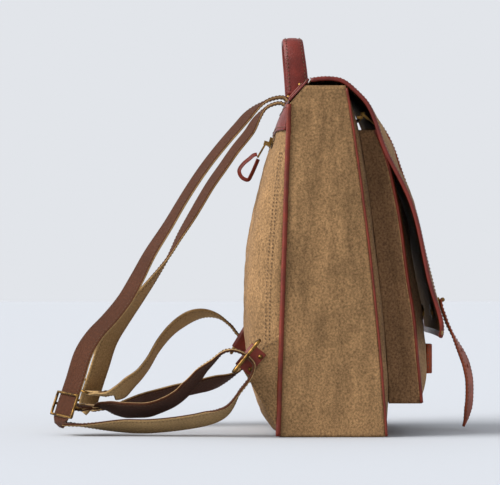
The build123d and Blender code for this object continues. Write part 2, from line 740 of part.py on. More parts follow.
def make_slide(side):
    """Brass slide: two end bars behind the strap, a raised middle bar in front of it."""
    centre, along, across, front = slide_frame(side)
    frame = Plane(origin=centre, x_dir=across, z_dir=front)
    half_long = 13.0
    half_wide = strap_width / 2 + 2.4
    bar = 1.5
    low = -(strap_wall / 2 + bar + 0.4)
    high = strap_wall / 2 + strap_wall + bar + 1.0
    bars = []
    for offset in (-half_long, half_long):
        bars.append(frame * Pos(0, offset, low) * Rot(0, 90, 0) * Cylinder(bar, 2 * half_wide))
    bars.append(frame * Pos(0, 0, high) * Rot(0, 90, 0) * Cylinder(bar, 2 * half_wide))
    for side_x in (-half_wide, half_wide):
        outline = Polyline((-half_long - bar, low - bar), (half_long + bar, low - bar),
                           (half_long + bar, low + bar), (bar, high + bar), (-bar, high + bar),
                           (-half_long - bar, low + bar), close=True)
        plate = extrude(make_face(outline), amount=2.4)
        # the outline lies along the strap and towards its front
        upright = Plane(origin=(side_x - 1.2, 0, 0), x_dir=(0, 1, 0), z_dir=(1, 0, 0))
        bars.append(frame.location * upright.location * plate)
    body = bars[0]
    for item in bars[1:]:
        body = body + item
    save(f"slide_adjuster_{side}", single(body))
    # the return strap's end is folded round the middle bar and riveted
    fold_out = bar + 0.15 + strap_wall * 0.8
    roll = frame * Pos(0, 0, high) * Rot(0, 90, 0) * (Cylinder(fold_out, strap_width - 1.5)
                                                    - Cylinder(bar + 0.05, strap_width))
    reach = centre + front * high
    last = Vector(*return_lines[side][-1])
    away = (last - reach).normalized()
    tongue_points = [tuple(reach + away * (bar + 1.0)), tuple(last - away * 2.0)]
    tongue = ribbon(tongue_points, [tuple(across)] * 2, strap_width - 1.5, strap_wall)
    save(f"strap_fold_{side}", single(roll + tongue))


# ---------------------------------------------------------------- the whole bag
make_gussets()
make_base()
make_back()
make_front()
lining_floor = make_lining()
make_inside(lining_floor)
make_piping()
make_top_band()
make_yoke()
make_handle()
make_pocket()
zip_edge, zip_level = make_pocket_zip()
make_pocket_zip_pull(zip_edge, zip_level)
make_pocket_fittings()
make_flap()
stud_seat = make_stud()
make_tail(stud_seat)
make_back_zip()
for hand in ("left", "right"):
    make_anchor(hand)
    make_ring(hand)
    make_strap(hand)
    make_slide(hand)
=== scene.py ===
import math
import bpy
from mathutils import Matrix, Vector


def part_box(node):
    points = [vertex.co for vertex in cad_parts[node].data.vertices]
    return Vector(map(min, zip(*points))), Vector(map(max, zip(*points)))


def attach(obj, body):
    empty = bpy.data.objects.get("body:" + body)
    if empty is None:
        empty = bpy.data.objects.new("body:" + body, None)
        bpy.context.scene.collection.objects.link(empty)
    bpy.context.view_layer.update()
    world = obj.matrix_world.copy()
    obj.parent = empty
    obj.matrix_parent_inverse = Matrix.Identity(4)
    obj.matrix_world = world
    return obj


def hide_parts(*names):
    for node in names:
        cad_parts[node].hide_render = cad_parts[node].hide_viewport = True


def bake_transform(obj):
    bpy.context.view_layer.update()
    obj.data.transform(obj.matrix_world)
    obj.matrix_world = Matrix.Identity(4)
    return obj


bl_info = {
    "name": "Canvas satchel backpack",
    "version": (1, 0, 0),
    "blender": (4, 5, 0),
    "location": "3D View > Sidebar > Backpack",
    "description": "Waxed canvas satchel backpack with leather trim, straps and brass fittings",
    "category": "Object",
}

import bmesh
import bpy
from mathutils import Vector, noise
from mathutils.bvhtree import BVHTree

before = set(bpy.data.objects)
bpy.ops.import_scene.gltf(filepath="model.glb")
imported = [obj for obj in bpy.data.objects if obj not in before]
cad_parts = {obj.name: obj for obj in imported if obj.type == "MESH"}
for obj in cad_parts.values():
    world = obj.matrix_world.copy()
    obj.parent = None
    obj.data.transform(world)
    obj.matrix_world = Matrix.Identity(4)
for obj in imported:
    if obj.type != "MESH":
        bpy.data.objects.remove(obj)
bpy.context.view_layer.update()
MM = 0.001
HANDS = (("left", -1), ("right", 1))


# ---------------------------------------------------------------- colours and materials
def linear(code):
    """sRGB hex to linear red, green and blue."""
    values = [int(code[i:i + 2], 16) / 255 for i in (0, 2, 4)]
    return tuple(v / 12.92 if v <= 0.04045 else ((v + 0.055) / 1.055) ** 2.4 for v in values)


def add(tree, kind, links=None, **settings):
    """Adds a node; links gives each input a socket to join or a plain value."""
    made = tree.nodes.new(kind)
    for key, value in settings.items():
        setattr(made, key, value)
    for key, value in (links or {}).items():
        if isinstance(value, bpy.types.NodeSocket):
            tree.links.new(value, made.inputs[key])
        else:
            made.inputs[key].default_value = value
    return made


def new_material(name):
    """An empty node material and its tree."""
    material = bpy.data.materials.new(name)
    material.use_nodes = True
    tree = material.node_tree
    tree.nodes.clear()
    return material, tree


def shade(colour, share):
    """A linear colour made darker or lighter, with full alpha."""
    return tuple(min(1.0, c * share) for c in colour) + (1.0,)


def finish_material(tree, colour, rough, height, depth, fixed):
    """Principled surface with a bump of the given depth in metres and fixed socket values."""
    bump = add(tree, "ShaderNodeBump", {"Height": height, "Strength": 1.0, "Distance": depth})
    links = {"Base Color": colour, "Roughness": rough, "Normal": bump.outputs["Normal"], **fixed}
    surface = add(tree, "ShaderNodeBsdfPrincipled", links)
    add(tree, "ShaderNodeOutputMaterial", {"Surface": surface.outputs["BSDF"]})


def woven(name, colour, spacing, mottle, sheen, on_uv=False):
    """Plain-woven cotton: crossing threads, cloudy wear and flecks of lighter yarn.

    The threads are drawn at the given spacing, coarser than real yarn, so that they show."""
    material, tree = new_material(name)
    coords = add(tree, "ShaderNodeTexCoord")
    place = coords.outputs["UV" if on_uv else "Object"]
    parts = add(tree, "ShaderNodeSeparateXYZ", {"Vector": place})
    if on_uv:
        first, second = parts.outputs["X"], parts.outputs["Y"]
    else:
        first = parts.outputs["Z"]
        second = add(tree, "ShaderNodeMath", {0: parts.outputs["X"], 1: parts.outputs["Y"]},
                     operation="ADD").outputs[0]
    waves = []
    for axis in (first, second):
        turn = add(tree, "ShaderNodeMath", {0: axis, 1: math.tau / (spacing * MM)}, operation="MULTIPLY")
        waves.append(add(tree, "ShaderNodeMath", {0: turn.outputs[0]}, operation="SINE").outputs[0])
    weave = add(tree, "ShaderNodeMath", {0: waves[0], 1: waves[1]}, operation="MULTIPLY").outputs[0]
    cloud = add(tree, "ShaderNodeTexNoise", {"Vector": place, "Scale": 16.0, "Detail": 5.0,
                                             "Roughness": 0.62})
    fleck = add(tree, "ShaderNodeTexNoise", {"Vector": place, "Scale": 420.0, "Detail": 2.0,
                                             "Roughness": 0.7})
    crease = add(tree, "ShaderNodeTexNoise", {"Vector": place, "Scale": 38.0, "Detail": 6.0,
                                              "Roughness": 0.55, "Distortion": 0.7})
    ramp = add(tree, "ShaderNodeValToRGB", {"Fac": cloud.outputs["Fac"]})
    ramp.color_ramp.elements[0].position = 0.30
    ramp.color_ramp.elements[0].color = shade(colour, 1 - mottle)
    ramp.color_ramp.elements[1].position = 0.72
    ramp.color_ramp.elements[1].color = shade(colour, 1 + mottle)
    yarn = add(tree, "ShaderNodeMapRange", {"Value": fleck.outputs["Fac"], "From Min": 0.3, "From Max": 0.7,
                                            "To Min": 1 - 1.9 * mottle, "To Max": 1 + 1.9 * mottle})
    grain = add(tree, "ShaderNodeMapRange", {"Value": weave, "From Min": -1.0, "From Max": 1.0,
                                             "To Min": 0.93, "To Max": 1.07})
    tone = add(tree, "ShaderNodeMath", {0: yarn.outputs[0], 1: grain.outputs[0]}, operation="MULTIPLY")
    dyed = add(tree, "ShaderNodeVectorMath", {0: ramp.outputs["Color"]}, operation="SCALE")
    tree.links.new(tone.outputs[0], dyed.inputs["Scale"])
    raised = add(tree, "ShaderNodeMath", {0: weave, 1: 0.35}, operation="MULTIPLY")
    rough_yarn = add(tree, "ShaderNodeMath", {0: fleck.outputs["Fac"], 1: 0.8, 2: raised.outputs[0]},
                     operation="MULTIPLY_ADD")
    height = add(tree, "ShaderNodeMath", {0: crease.outputs["Fac"], 1: 3.5, 2: rough_yarn.outputs[0]},
                 operation="MULTIPLY_ADD")
    finish_material(tree, dyed.outputs[0], 0.86, height.outputs[0], 0.0006,
                    {"Sheen Weight": sheen, "Sheen Roughness": 0.5, "Specular IOR Level": 0.07})
    return material


def hide(name, colour, rough, coat):
    """Oiled, pull-up leather: fine pores, soft creases, and darker and lighter clouds where oil moved."""
    material, tree = new_material(name)
    place = add(tree, "ShaderNodeTexCoord").outputs["Object"]
    cloud = add(tree, "ShaderNodeTexNoise", {"Vector": place, "Scale": 55.0, "Detail": 5.0,
                                             "Roughness": 0.6})
    pores = add(tree, "ShaderNodeTexVoronoi", {"Vector": place, "Scale": 620.0})
    crease = add(tree, "ShaderNodeTexNoise", {"Vector": place, "Scale": 170.0, "Detail": 5.0,
                                              "Distortion": 1.1})
    ramp = add(tree, "ShaderNodeValToRGB", {"Fac": cloud.outputs["Fac"]})
    ramp.color_ramp.elements[0].position = 0.32
    ramp.color_ramp.elements[0].color = shade(colour, 0.66)
    ramp.color_ramp.elements[1].position = 0.74
    ramp.color_ramp.elements[1].color = shade(colour, 1.35)
    gloss = add(tree, "ShaderNodeMapRange", {"Value": crease.outputs["Fac"], "To Min": rough - 0.12,
                                             "To Max": rough + 0.16})
    deep = add(tree, "ShaderNodeMath", {0: crease.outputs["Fac"], 1: 1.4, 2: pores.outputs["Distance"]},
               operation="MULTIPLY_ADD")
    finish_material(tree, ramp.outputs["Color"], gloss.outputs[0], deep.outputs[0], 0.00022,
                    {"Coat Weight": coat, "Coat Roughness": 0.35, "Specular IOR Level": 0.3})
    return material


def worn_metal(name, colour, dark, rough):
    """Cast and tumbled brass with brown tarnish left in patches."""
    material, tree = new_material(name)
    place = add(tree, "ShaderNodeTexCoord").outputs["Object"]
    tarnish = add(tree, "ShaderNodeTexNoise", {"Vector": place, "Scale": 120.0, "Detail": 5.0,
                                               "Roughness": 0.65})
    scratch = add(tree, "ShaderNodeTexNoise", {"Vector": place, "Scale": 900.0, "Detail": 3.0})
    ramp = add(tree, "ShaderNodeValToRGB", {"Fac": tarnish.outputs["Fac"]})
    ramp.color_ramp.elements[0].position = 0.36
    ramp.color_ramp.elements[0].color = shade(dark, 1.0)
    ramp.color_ramp.elements[1].position = 0.62
    ramp.color_ramp.elements[1].color = shade(colour, 1.0)
    gloss = add(tree, "ShaderNodeMapRange", {"Value": tarnish.outputs["Fac"], "To Min": rough + 0.18,
                                             "To Max": rough - 0.08})
    finish_material(tree, ramp.outputs["Color"], gloss.outputs[0], scratch.outputs["Fac"], 0.00006,
                    {"Metallic": 1.0})
    return material


def plain_rough(name, colour, rough, scale, depth):
    """A dull surface with a fine grain: twisted thread, pressed board or a painted floor."""
    material, tree = new_material(name)
    place = add(tree, "ShaderNodeTexCoord").outputs["Object"]
    grain = add(tree, "ShaderNodeTexNoise", {"Vector": place, "Scale": scale, "Detail": 3.0})
    ramp = add(tree, "ShaderNodeValToRGB", {"Fac": grain.outputs["Fac"]})
    ramp.color_ramp.elements[0].color = shade(colour, 0.88)
    ramp.color_ramp.elements[1].color = shade(colour, 1.08)
    finish_material(tree, ramp.outputs["Color"], rough, grain.outputs["Fac"], depth, {})
    return material


PAINT = {}


def make_materials(settings):
    """Every finish of the bag, named for what it is."""
    spacing = settings.thread_spacing
    PAINT.update({
        # waxed cotton canvas: matt and cloudy brown, flecked with lighter and darker yarn
        "canvas": woven("waxed_cotton_canvas", settings.canvas_colour, spacing, 0.24, 0.05),
        # the same canvas made darker, as painted shade for the pocket's sides and floor, which stand in
        # shadow
        "canvas_painted_shade": woven("waxed_cotton_canvas_shade", settings.canvas_painted_shade_colour, spacing, 0.24, 0.04),
        # cotton webbing, the tan outer side and the brown lined side of each strap
        "strap_tan": woven("cotton_strap_tan", settings.strap_tan_colour, spacing, 0.16, 0.05, True),
        "strap_brown": woven("cotton_strap_brown", settings.strap_brown_colour, spacing, 0.18, 0.05, True),
        # thin cotton twill, paler and smoother than the canvas
        "lining": woven("cotton_lining", settings.lining_colour, spacing * 0.7, 0.10, 0.0),
        "zip_tape": woven("zip_tape_cotton", linear("3c2a1c"), spacing * 0.6, 0.08, 0.1),
        # oiled cowhide, satin red-brown on the grain side
        "leather": hide("oiled_red_brown_leather", settings.leather_colour, 0.42, 0.08),
        "leather_dark": hide("oiled_leather_piping", settings.piping_colour, 0.44, 0.05),
        "leather_tan": hide("oiled_tan_strap_leather", settings.tail_colour, 0.46, 0.05),
        # antique brass: brown in the hollows and yellow where it rubs
        "brass": worn_metal("antique_brass", settings.brass_colour, linear("3f2c18"), 0.36),
        # waxed linen thread, pale on canvas and dark on leather
        "thread": plain_rough("waxed_linen_thread", linear("5c432b"), 0.7, 900.0, 0.0001),
        "thread_pale": plain_rough("pale_linen_thread", linear("b08a58"), 0.7, 900.0, 0.0001),
        # pressed fibre board and dense foam, dull and grainy
        "board": plain_rough("pressed_fibre_board", linear("4a3a2b"), 0.85, 260.0, 0.0002),
    })


# ---------------------------------------------------------------- finding the frame's surfaces
class Skin:
    """The outside of frame nodes, found by looking at them along a line, in millimetres."""

    def __init__(self, *names):
        points, faces = [], []
        for name in names:
            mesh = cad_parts[name].data
            start = len(points)
            points += [v.co / MM for v in mesh.vertices]
            faces += [[start + i for i in p.vertices] for p in mesh.polygons]
        self.tree = BVHTree.FromPolygons(points, faces)

    def hit(self, start, direction):
        found = self.tree.ray_cast(Vector(start), Vector(direction))[0]
        if found is None:
            found = self.tree.find_nearest(Vector(start) + Vector(direction) * 300)[0]
        return found


def mix(a, b, t):
    """The value a share t of the way from a to b."""
    return a + (b - a) * t


def smooth(t):
    """Eases from 0 to 1, and stays there beyond either end."""
    t = min(1.0, max(0.0, t))
    return t * t * (3 - 2 * t)


def shares(count):
    """Evenly spaced shares from 0 to 1."""
    return [i / (count - 1) for i in range(count)]


def ripple(x, y, z, seed, size):
    """Soft waves in cloth, about size millimetres across, roughly from -1 to 1."""
    return noise.fractal(Vector((x / size, y / size, z / size + seed * 7.3)), 0.9, 2.1, 3)


def spline(points, count):
    """A smooth line through the points, evenly spaced."""
    knots = [Vector(p) for p in points]
    knots = [knots[0] * 2 - knots[1]] + knots + [knots[-1] * 2 - knots[-2]]
    fine = []
    for i in range(1, len(knots) - 2):
        a, b, c, d = knots[i - 1:i + 3]
        for k in range(12):
            t = k / 12
            fine.append(0.5 * (2 * b + (c - a) * t + (2 * a - 5 * b + 4 * c - d) * t ** 2
                               + (3 * b - a - 3 * c + d) * t ** 3))
    fine.append(knots[-2])
    return even(fine, count)


def even(points, count):
    """The same polyline with evenly spaced points."""
    lengths = [0.0]
    for a, b in zip(points, points[1:]):
        lengths.append(lengths[-1] + (Vector(b) - Vector(a)).length)
    placed = []
    k = 0
    for share in shares(count):
        want = share * lengths[-1]
        while k < len(points) - 2 and lengths[k + 1] < want:
            k += 1
        span = lengths[k + 1] - lengths[k]
        share = (want - lengths[k]) / span if span else 0
        placed.append(Vector(points[k]).lerp(Vector(points[k + 1]), share))
    return placed


def blended(marks, count):
    """Directions at evenly spaced points, turned smoothly between (share, direction) marks."""
    found = []
    for share in shares(count):
        for (a, u), (b, v) in zip(marks, marks[1:]):
            if a <= share <= b:
                found.append(Vector(u).lerp(Vector(v), smooth((share - a) / (b - a))).normalized())
                break
    return found


# ---------------------------------------------------------------- making meshes
def build(name, points, faces, paints, uvs=None, which=None):
    """A smooth-shaded mesh object from points in millimetres."""
    mesh = bpy.data.meshes.new(name)
    mesh.from_pydata([Vector(p) * MM for p in points], [], faces)
    for paint in paints:
        mesh.materials.append(PAINT[paint])
    if which:
        mesh.polygons.foreach_set("material_index", which)
    if uvs:
        layer = mesh.uv_layers.new(name="flat")
        for loop in mesh.loops:
            layer.data[loop.index].uv = uvs[loop.vertex_index]
    mesh.validate()
    mesh.shade_smooth()
    made = bpy.data.objects.new(name, mesh)
    bpy.context.scene.collection.objects.link(made)
    return made


def outward(made):
    """Turns all faces to point outwards."""
    bpy.context.view_layer.objects.active = made
    made.select_set(True)
    bpy.ops.object.mode_set(mode="EDIT")
    bpy.ops.mesh.select_all(action="SELECT")
    bpy.ops.mesh.normals_make_consistent(inside=False)
    bpy.ops.object.mode_set(mode="OBJECT")
    made.select_set(False)
    return made


def slab(name, point, inward, across, along, paints):
    """A closed cloth panel: point(u, v) is its outer side and inward(u, v) leads to its inner side."""
    points, faces, which, uvs = [], [], [], []
    for side in (0, 1):
        for v in shares(along):
            for u in shares(across):
                p = Vector(point(u, v))
                points.append(p + Vector(inward(u, v)) * side)
                uvs.append((u, v))
    size = across * along

    def at(side, i, j):
        return side * size + j * across + i

    for j in range(along - 1):
        for i in range(across - 1):
            faces.append((at(0, i, j), at(0, i + 1, j), at(0, i + 1, j + 1), at(0, i, j + 1)))
            which.append(0)
            faces.append((at(1, i, j + 1), at(1, i + 1, j + 1), at(1, i + 1, j), at(1, i, j)))
            which.append(len(paints) - 1)
    rim = [(i, 0) for i in range(across)] + [(across - 1, j) for j in range(1, along)]
    rim += [(i, along - 1) for i in range(across - 2, -1, -1)] + [(0, j) for j in range(along - 2, 0, -1)]
    for (a, b), (c, d) in zip(rim, rim[1:] + rim[:1]):
        faces.append((at(0, a, b), at(1, a, b), at(1, c, d), at(0, c, d)))
        which.append(0)
    return outward(build(name, points, faces, paints, uvs, which))


def cross_section(width, wall, crown):
    """A flat strap's outline with softened edges; half of it is the front face."""
    half = width / 2
    edge = min(wall, half * 0.5)
    front = [(-half, wall * 0.18), (-half + edge * 0.25, wall * 0.42), (-half + edge, wall * 0.5)]
    front += [(-half * 0.34, wall * 0.5 + crown), (half * 0.34, wall * 0.5 + crown)]
    front += [(half - edge, wall * 0.5), (half - edge * 0.25, wall * 0.42), (half, wall * 0.18)]
    return front + [(a, -b) for a, b in reversed(front)]


def ribbon(name, line, across, width, wall, paints, crown=0.0, cap=True):
    """A strap along a line, its width along across; the second paint covers its back."""
    outline_sizes = width if isinstance(width, (list, tuple)) else [width] * len(line)
    points, faces, which, uvs, normals = [], [], [], [], []
    travelled = 0.0
    for i, centre in enumerate(line):
        along = (line[min(i + 1, len(line) - 1)] - line[max(i - 1, 0)]).normalized()
        wide = Vector(across[i])
        wide = (wide - along * wide.dot(along)).normalized()
        face = along.cross(wide)
        normals.append((wide, face))
        if i:
            travelled += (centre - line[i - 1]).length
        for a, b in cross_section(outline_sizes[i], wall, crown):
            points.append(centre + wide * a + face * b)
            uvs.append((a * MM, travelled * MM))
    count = len(cross_section(width if not isinstance(width, (list, tuple)) else width[0], wall, crown))
    for i in range(len(line) - 1):
        for k in range(count):
            n = (k + 1) % count
            faces.append((i * count + k, i * count + n, (i + 1) * count + n, (i + 1) * count + k))
            which.append(0 if k < count / 2 - 1 or k == count - 1 else len(paints) - 1)
    if cap:
        faces.append(tuple(range(count)))
        faces.append(tuple(range(len(points) - 1, len(points) - 1 - count, -1)))
        which += [0, 0]
    made = build(name, points, faces, paints, uvs, which)
    return outward(made), normals


def tube(name, line, radius, paint, sides=12):
    """A round cord along a line."""
    points, faces = [], []
    wide = Vector((0.3, 0.5, 0.81))
    for i, centre in enumerate(line):
        along = (line[min(i + 1, len(line) - 1)] - line[max(i - 1, 0)]).normalized()
        wide = (wide - along * wide.dot(along)).normalized()
        tall = along.cross(wide)
        for k in range(sides):
            turn = math.tau * k / sides
            points.append(centre + (wide * math.cos(turn) + tall * math.sin(turn)) * radius)
    for i in range(len(line) - 1):
        for k in range(sides):
            n = (k + 1) % sides
            faces.append((i * sides + k, i * sides + n, (i + 1) * sides + n, (i + 1) * sides + k))
    faces.append(tuple(range(sides)))
    faces.append(tuple(range(len(points) - 1, len(points) - 1 - sides, -1)))
    return outward(build(name, points, faces, [paint]))


def lathe(name, centre, axis, profile, paint, sides=20):
    """A turned piece: profile holds (radius, height) pairs along the axis."""
    axis = Vector(axis).normalized()
    wide = axis.orthogonal().normalized()
    tall = axis.cross(wide)
    points, faces = [], []
    for radius, height in profile:
        for k in range(sides):
            turn = math.tau * k / sides
            spoke = wide * math.cos(turn) + tall * math.sin(turn)
            points.append(Vector(centre) + axis * height + spoke * max(radius, 0.01))
    for i in range(len(profile) - 1):
        for k in range(sides):
            n = (k + 1) % sides
            faces.append((i * sides + k, i * sides + n, (i + 1) * sides + n, (i + 1) * sides + k))
    faces.append(tuple(range(sides)))
    faces.append(tuple(range(len(points) - 1, len(points) - 1 - sides, -1)))
    return outward(build(name, points, faces, [paint]))


def rivet(name, centre, axis, radius=4.2):
    """A domed brass rivet head on a thin collar."""
    profile = [(radius, 0), (radius * 1.02, 0.5), (radius * 0.9, 0.9), (radius * 0.7, 1.6),
               (radius * 0.35, 2.1), (0, 2.25)]
    return lathe(name, centre, axis, profile, "brass")


class Seam:
    """Rows of sewn stitches, gathered into one mesh."""

    def __init__(self):
        self.points, self.faces = [], []

    def row(self, line, out, pitch=4.0, length=2.8, radius=0.42):
        """Stitches along a line; out gives the surface's outward direction at each point."""
        total = sum((b - a).length for a, b in zip(line, line[1:]))
        count = max(2, int(total / pitch))
        places = even(line, count)
        for i, centre in enumerate(places):
            along = (places[min(i + 1, count - 1)] - places[max(i - 1, 0)]).normalized()
            normal = Vector(out[round(i / (count - 1) * (len(out) - 1))])
            side = along.cross(normal).normalized()
            lift = side.cross(along)
            self.stitch(centre, along * length / 2, side * radius, lift * radius)

    def stitch(self, centre, reach, side, lift):
        start = len(self.points)
        self.points.append(centre - reach)
        for share in (-0.55, 0.55):
            middle = centre + reach * share + lift * 0.5
            self.points += [middle + side, middle + lift, middle - side, middle - lift]
        self.points.append(centre + reach)
        for k in range(4):
            n = (k + 1) % 4
            self.faces.append((start, start + 1 + n, start + 1 + k))
            self.faces.append((start + 1 + k, start + 1 + n, start + 5 + n, start + 5 + k))
            self.faces.append((start + 5 + k, start + 5 + n, start + 9))

    def sew(self, name, paint="thread"):
        return outward(build(name, self.points, self.faces, [paint]))


def softened(node, name, paint, waves=1.2, size=45.0, longest=14.0):
    """The frame node's cloth again, finely divided and gently rumpled, for pieces deep inside."""
    made = bpy.data.objects.new(name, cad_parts[node].data.copy())
    bpy.context.scene.collection.objects.link(made)
    made.data.materials.clear()
    made.data.materials.append(PAINT[paint])
    for _ in range(5):
        divide_long_edges(made, longest * MM)
    low, high = (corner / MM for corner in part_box(node))
    for v in made.data.vertices:
        p = v.co / MM
        room = min(1.0, (high.z - p.z) / 25, (p.z - low.z) / 25)
        push = ripple(*p, 3.0, size) * waves * max(0.0, room)
        v.co += Vector((push * 0.3, push, 0)) * MM
    return made


def divide_long_edges(made, longest):
    """Cuts the edges longer than the given length in metres once, so that they can bend."""
    work = bmesh.new()
    work.from_mesh(made.data)
    edges = [e for e in work.edges if e.calc_length() > longest]
    if edges:
        bmesh.ops.subdivide_edges(work, edges=edges, cuts=1)
        bmesh.ops.triangulate(work, faces=[f for f in work.faces if len(f.verts) > 4])
    work.to_mesh(made.data)
    work.free()


def settle(made, body, slot, *nodes, bend=None):
    """Hides the frame nodes a finished piece stands for, then hangs it from its body's empty, or only bakes
    its placement when bend is given. The slot is not used.
    """
    if nodes:
        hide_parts(*nodes)
    if bend:
        other, start, end = bend
        [c * MM for c in start]
        [c * MM for c in end]
        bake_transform(made)
    else:
        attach(made, body)
    return made


# ---------------------------------------------------------------- settings
class SatchelCloth(bpy.types.PropertyGroup):
    """Colours, weave and stitching."""

    thread_spacing: bpy.props.FloatProperty(
        name="Thread spacing", description="Drawn distance between threads, in mm", default=1.9, min=0.3)
    stitch_pitch: bpy.props.FloatProperty(
        name="Stitch pitch", description="From one stitch to the next, in mm", default=4.2, min=2.0)
    wrinkle_depth: bpy.props.FloatProperty(
        name="Wrinkle depth", description="How deep the canvas rumples, in mm", default=3.6, min=0.0)
    canvas_colour: bpy.props.FloatVectorProperty(
        name="Canvas", description="Waxed canvas", subtype="COLOR", size=3, default=linear("8c6c49"))
    # colour of the pocket's sides and floor: the same canvas made darker, as painted shade for the shadow
    # they stand in
    canvas_painted_shade_colour: bpy.props.FloatVectorProperty(
        name="Pocket gusset", description="Folded canvas of the pocket's sides", subtype="COLOR", size=3,
        default=linear("73553a"))
    strap_tan_colour: bpy.props.FloatVectorProperty(
        name="Strap outside", description="Tan side of the straps", subtype="COLOR", size=3,
        default=linear("a5865a"))
    strap_brown_colour: bpy.props.FloatVectorProperty(
        name="Strap inside", description="Brown side of the straps", subtype="COLOR", size=3,
        default=linear("472818"))
    lining_colour: bpy.props.FloatVectorProperty(
        name="Lining", description="Cotton lining", subtype="COLOR", size=3, default=linear("6a5336"))


class SatchelTrim(bpy.types.PropertyGroup):
    """Leather, brass and padding."""

    leather_colour: bpy.props.FloatVectorProperty(
        name="Leather", description="Handle and binding leather", subtype="COLOR", size=3,
        default=linear("661f14"))
    piping_colour: bpy.props.FloatVectorProperty(
        name="Piping", description="Piping leather", subtype="COLOR", size=3, default=linear("6a2210"))
    tail_colour: bpy.props.FloatVectorProperty(
        name="Closing strap", description="Closing strap leather", subtype="COLOR", size=3,
        default=linear("8c3a14"))
    brass_colour: bpy.props.FloatVectorProperty(
        name="Brass", description="Rubbed brass", subtype="COLOR", size=3, default=linear("94703a"))
    padding_rise: bpy.props.FloatProperty(
        name="Padding rise", description="Most that the stuffed back swells, in mm", default=2.5, min=0.0)
    window_strength: bpy.props.FloatProperty(
        name="Window strength", description="Power of the soft light behind the bag", default=4.6, min=0.0)
    floor_colour: bpy.props.FloatVectorProperty(
        name="Floor", description="Pale floor and backdrop", subtype="COLOR", size=3,
        default=linear("e2e5ea"))


def cloth():
    """The settings for canvas, weave and stitching."""
    return bpy.context.scene.satchel_cloth


def trim():
    """The settings for leather, brass, padding, light and floor."""
    return bpy.context.scene.satchel_trim


class AllSettings:
    """Both groups of settings read as one."""

    def __getattr__(self, name):
        return getattr(cloth() if hasattr(cloth(), name) else trim(), name)


# ---------------------------------------------------------------- sizes taken from the frame, in millimetres
GUSSET_LOW, GUSSET_HIGH = (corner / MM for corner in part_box("side_gusset_left"))
HALF_WIDTH = -GUSSET_LOW.x
BAG_HEIGHT = GUSSET_HIGH.z
SEAM_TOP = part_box("back_panel")[1].z / MM
POCKET_LOW, POCKET_HIGH = (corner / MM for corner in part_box("pocket_front"))
POCKET_HALF = POCKET_HIGH.x
SIDE_SKIN = Skin("side_gusset_left")
BACK_SKIN = Skin("back_panel")
FRONT_SKIN = Skin("front_panel")
POCKET_SKIN = Skin("pocket_front")
FLAP_SKIN = Skin("flap_front_canvas", "flap_front_binding")
FLAP_TOP_SKIN = Skin("flap_top_canvas", "flap_top_binding")
FAR = 400.0
CANVAS = 2.4


def seam_y(z, ahead):
    """The gusset's front (ahead = -1) or rear (1) edge at a height."""
    z = min(BAG_HEIGHT - 0.2, max(0.2, z))
    middle = -HALF_WIDTH + CANVAS / 2
    return SIDE_SKIN.hit((middle, ahead * FAR, z), (0, -ahead, 0)).y


def back_y(x, z):
    """How far back the padded back reaches."""
    return BACK_SKIN.hit((x, FAR, z), (0, -1, 0)).y


def front_y(x, z):
    """Where the front wall stands behind the pocket."""
    return FRONT_SKIN.hit((x, -FAR, z), (0, 1, 0)).y


def pocket_y(x, z):
    """Where the pocket front bulges to."""
    return POCKET_SKIN.hit((x, -FAR, z), (0, 1, 0)).y


# ---------------------------------------------------------------- canvas side panels and front wall
def make_side_panels():
    """Near and far gussets: one piece of canvas each, bellied and rumpled between the seams."""
    belly_depth = 3.4
    hem_rise, hem_height = 0.9, 11
    for hand, sign in HANDS:
        rear = {}

        def edge(v):
            z = mix(0.15, BAG_HEIGHT - 0.15, v)
            if v not in rear:
                rear[v] = (seam_y(z, 1), seam_y(z, -1), z)
            return rear[v]

        def point(u, v):
            back, front, z = edge(v)
            y = mix(back, front, u)
            hold = smooth(u * 7) * smooth((1 - u) * 7) * smooth(v * 9) * smooth((1 - v) * 14)
            belly = belly_depth * math.sin(math.pi * u) * math.sin(math.pi * min(1, v * 1.05)) ** 0.7
            long_fold = ripple(0, y * 2.2, z * 0.45, 1 + sign, 60) * cloth().wrinkle_depth
            cross_fold = ripple(0, y * 0.7 + z * 0.3, z, 5 + sign, 34) * cloth().wrinkle_depth * 0.42
            hem = hem_rise * smooth((z - (BAG_HEIGHT - hem_height)) * 1.2)
            hem *= smooth(u * 12) * smooth((1 - u) * 12)
            out = HALF_WIDTH + (belly + long_fold + cross_fold) * hold + hem
            return (sign * out, y, z)

        panel = slab(f"side_panel_{hand}", point, lambda u, v: (-sign * CANVAS, 0, 0), 46, 120, ["canvas"])
        settle(panel, "bag", "canvas", f"side_gusset_{hand}")
        seam = Seam()
        x = sign * (HALF_WIDTH + 2.0)
        line = [Vector((x, mix(edge(0.992)[0], edge(0.992)[1], u), BAG_HEIGHT - 3.4)) for u in shares(12)]
        line = [p + Vector((0, -4 if i == 0 else 4 if i == 11 else 0, 0)) for i, p in enumerate(line)]
        seam.row(line, [(sign, 0, 0)] * 12, cloth().stitch_pitch * 0.8, 2.5)
        settle(seam.sew(f"side_hem_stitches_{hand}", "thread_pale"), "bag", "canvas")


def make_front_wall():
    """Canvas wall behind the pocket, and the cloth under the base."""
    def point(u, v):
        x = mix(-HALF_WIDTH + CANVAS, HALF_WIDTH - CANVAS, u)
        z = mix(2.6, BAG_HEIGHT - 2.2, v)
        hold = smooth(u * 8) * smooth((1 - u) * 8) * smooth(v * 8) * smooth((1 - v) * 8)
        return (x, front_y(x * 0.999, z) + ripple(x, 0, z, 9, 50) * 1.3 * hold, z)

    wall = slab("front_wall", point, lambda u, v: (0, CANVAS, 0), 50, 60, ["canvas"])
    settle(wall, "bag", "canvas", "front_panel")

    def floor_point(u, v):
        return (mix(-HALF_WIDTH + CANVAS, HALF_WIDTH - CANVAS, u), mix(59, -59, v), 0.2)

    under = slab("base_cloth", floor_point, lambda u, v: (0, 0, 2.2), 24, 12, ["canvas"])
    settle(under, "bag", "canvas", "base_panel")


